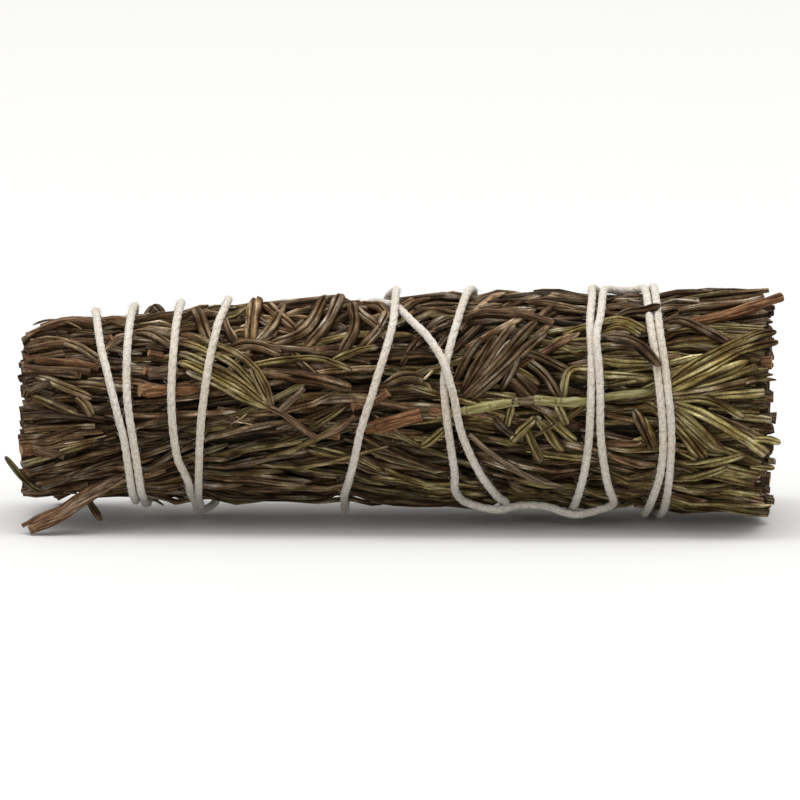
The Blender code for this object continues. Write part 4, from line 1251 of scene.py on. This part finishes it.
def fuzzOn(points, out):
    # short loose fibres that stand off the string
    chance = random.Random(bundle["seed"] + 1)
    tangent = unit(np.gradient(points, axis=0))
    side = np.cross(out, tangent)
    lines = []
    for _ in range(string["fibres"]):
        i = chance.randrange(len(points))
        a = chance.uniform(-string["fibreTurn"], string["fibreTurn"])
        way = out[i] * math.cos(a) + side[i] * math.sin(a)
        lean = tangent[i] * chance.uniform(-string["fibreLean"], string["fibreLean"])
        reach = chance.uniform(*string["fibreReach"]) / 1000
        start = points[i] + way * string["radius"] * 0.85 / 1000
        curl = (side[i] * chance.uniform(-1, 1) - out[i] * 0.4) * reach
        run = np.linspace(0, 1, 4)[:, None]
        line = start + (way * 0.5 + lean) * reach * run + curl * run**2
        line[:, 2] = np.maximum(line[:, 2], 0.00003)
        lines.append(line)
    return tubeFrom("stringFibres", lines, [string["fibreRadius"] / 1000] * len(lines), sides=0)


def woundString():
    route = stringRoute(0.55)
    lift = route[:, 2] * string["liftKept"]
    radius = radiusAt(route[:, 0]) + string["gap"] + string["radius"] - string["sunk"] + lift
    points, out = onBundle(route[:, 0], route[:, 1], radius)
    points[:, 2] = np.maximum(points[:, 2], (string["plyRadius"] + string["plyOffset"] + 0.05) / 1000)
    lines = pliesAlong(points, out)
    radii = [string["plyRadius"] / 1000] * len(lines)
    for x, angle in string["knots"]:
        for path in knotPaths(x, angle):
            fray = np.minimum(1, 0.32 + 0.12 * np.arange(len(path[0]))[::-1])
            for line in pliesAlong(*path, spread=1 + 3.2 * (1 - fray)):
                lines.append(line)
                radii.append(string["plyRadius"] / 1000 * fray)
    return tubeFrom("cottonString", lines, radii, sides=2), points, out


stringPiece, stringLine, stringOut = woundString()
stringPiece.data.materials.append(cottonMaterial)
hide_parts("cotton_string")
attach(stringPiece, "root")
fibrePiece = fuzzOn(stringLine, stringOut)
fibrePiece.data.materials.append(cottonMaterial)
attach(fibrePiece, "root")
print("string done", len(stringPiece.data.polygons))

for master, _ in kinds.values():
    bpy.data.objects.remove(master)


# floor, lights and camera

studio = {
    "floorSize": 5.0,
    "floorColour": (0.62, 0.62, 0.62),
    "overhead": 24.0,
    "key": 8.5,
    "behind": 5.0,
    "front": 2.5,
    "sky": 0.72,
    "skyColour": (1.0, 0.985, 0.96),
}


def layFloor():
    bpy.ops.mesh.primitive_plane_add(size=studio["floorSize"], location=(0, 0, 0))
    floor = bpy.context.object
    floor.name = "studioFloor"
    made, tree, shader = newMaterial("paleFloor")
    feed(tree, shader.inputs, {
        "Base Color": studio["floorColour"],
        "Roughness": 0.9,
        "Specular IOR Level": 0.1,
    })
    floor.data.materials.append(made)
    floor.select_set(False)


def areaLight(name, place, aim, size, power):
    light = bpy.data.lights.new(name, "AREA")
    light.shape = "RECTANGLE"
    light.size, light.size_y = size
    light.energy = power
    obj = bpy.data.objects.new(name, light)
    obj.location = place
    obj.rotation_euler = (Vector(aim) - Vector(place)).to_track_quat("-Z", "Y").to_euler()
    bpy.context.scene.collection.objects.link(obj)


layFloor()
areaLight("overheadSoftbox", (0.0, 0.0, 1.80), (0, 0.1, 0), (1.9, 0.6), studio["overhead"])
areaLight("keySoftbox", (-0.12, -0.55, 1.75), (0, 0, 0), (1.9, 0.9), studio["key"])
areaLight("rearSoftbox", (0.0, 0.55, 1.60), (0, 0, 0), (2.2, 0.6), studio["behind"])
areaLight("frontSoftbox", (-0.25, -1.3, 0.12), (0, 0, 0.02), (1.4, 0.14), studio["front"])
world = bpy.data.worlds.new("studio")
world.use_nodes = True
sky = world.node_tree.nodes["Background"]
feed(world.node_tree, sky.inputs, {"Color": studio["skyColour"], "Strength": studio["sky"]})
bpy.context.scene.world = world
bpy.context.scene.view_settings.view_transform = "Standard"


def setCamera():
    tilt = math.radians(camera["elevation"])
    lens = bpy.data.cameras.new("photoCamera")
    lens.sensor_width = 36
    lens.lens = camera["focalPixels"] / camera["framePixels"] * 36
    obj = bpy.data.objects.new("photoCamera", lens)
    aim = Vector(camera["aim"])
    obj.location = aim + Vector((0, -math.cos(tilt), math.sin(tilt))) * camera["distance"]
    obj.rotation_euler = (aim - obj.location).to_track_quat("-Z", "Y").to_euler()
    bpy.context.scene.collection.objects.link(obj)
    bpy.context.scene.camera = obj


setCamera()
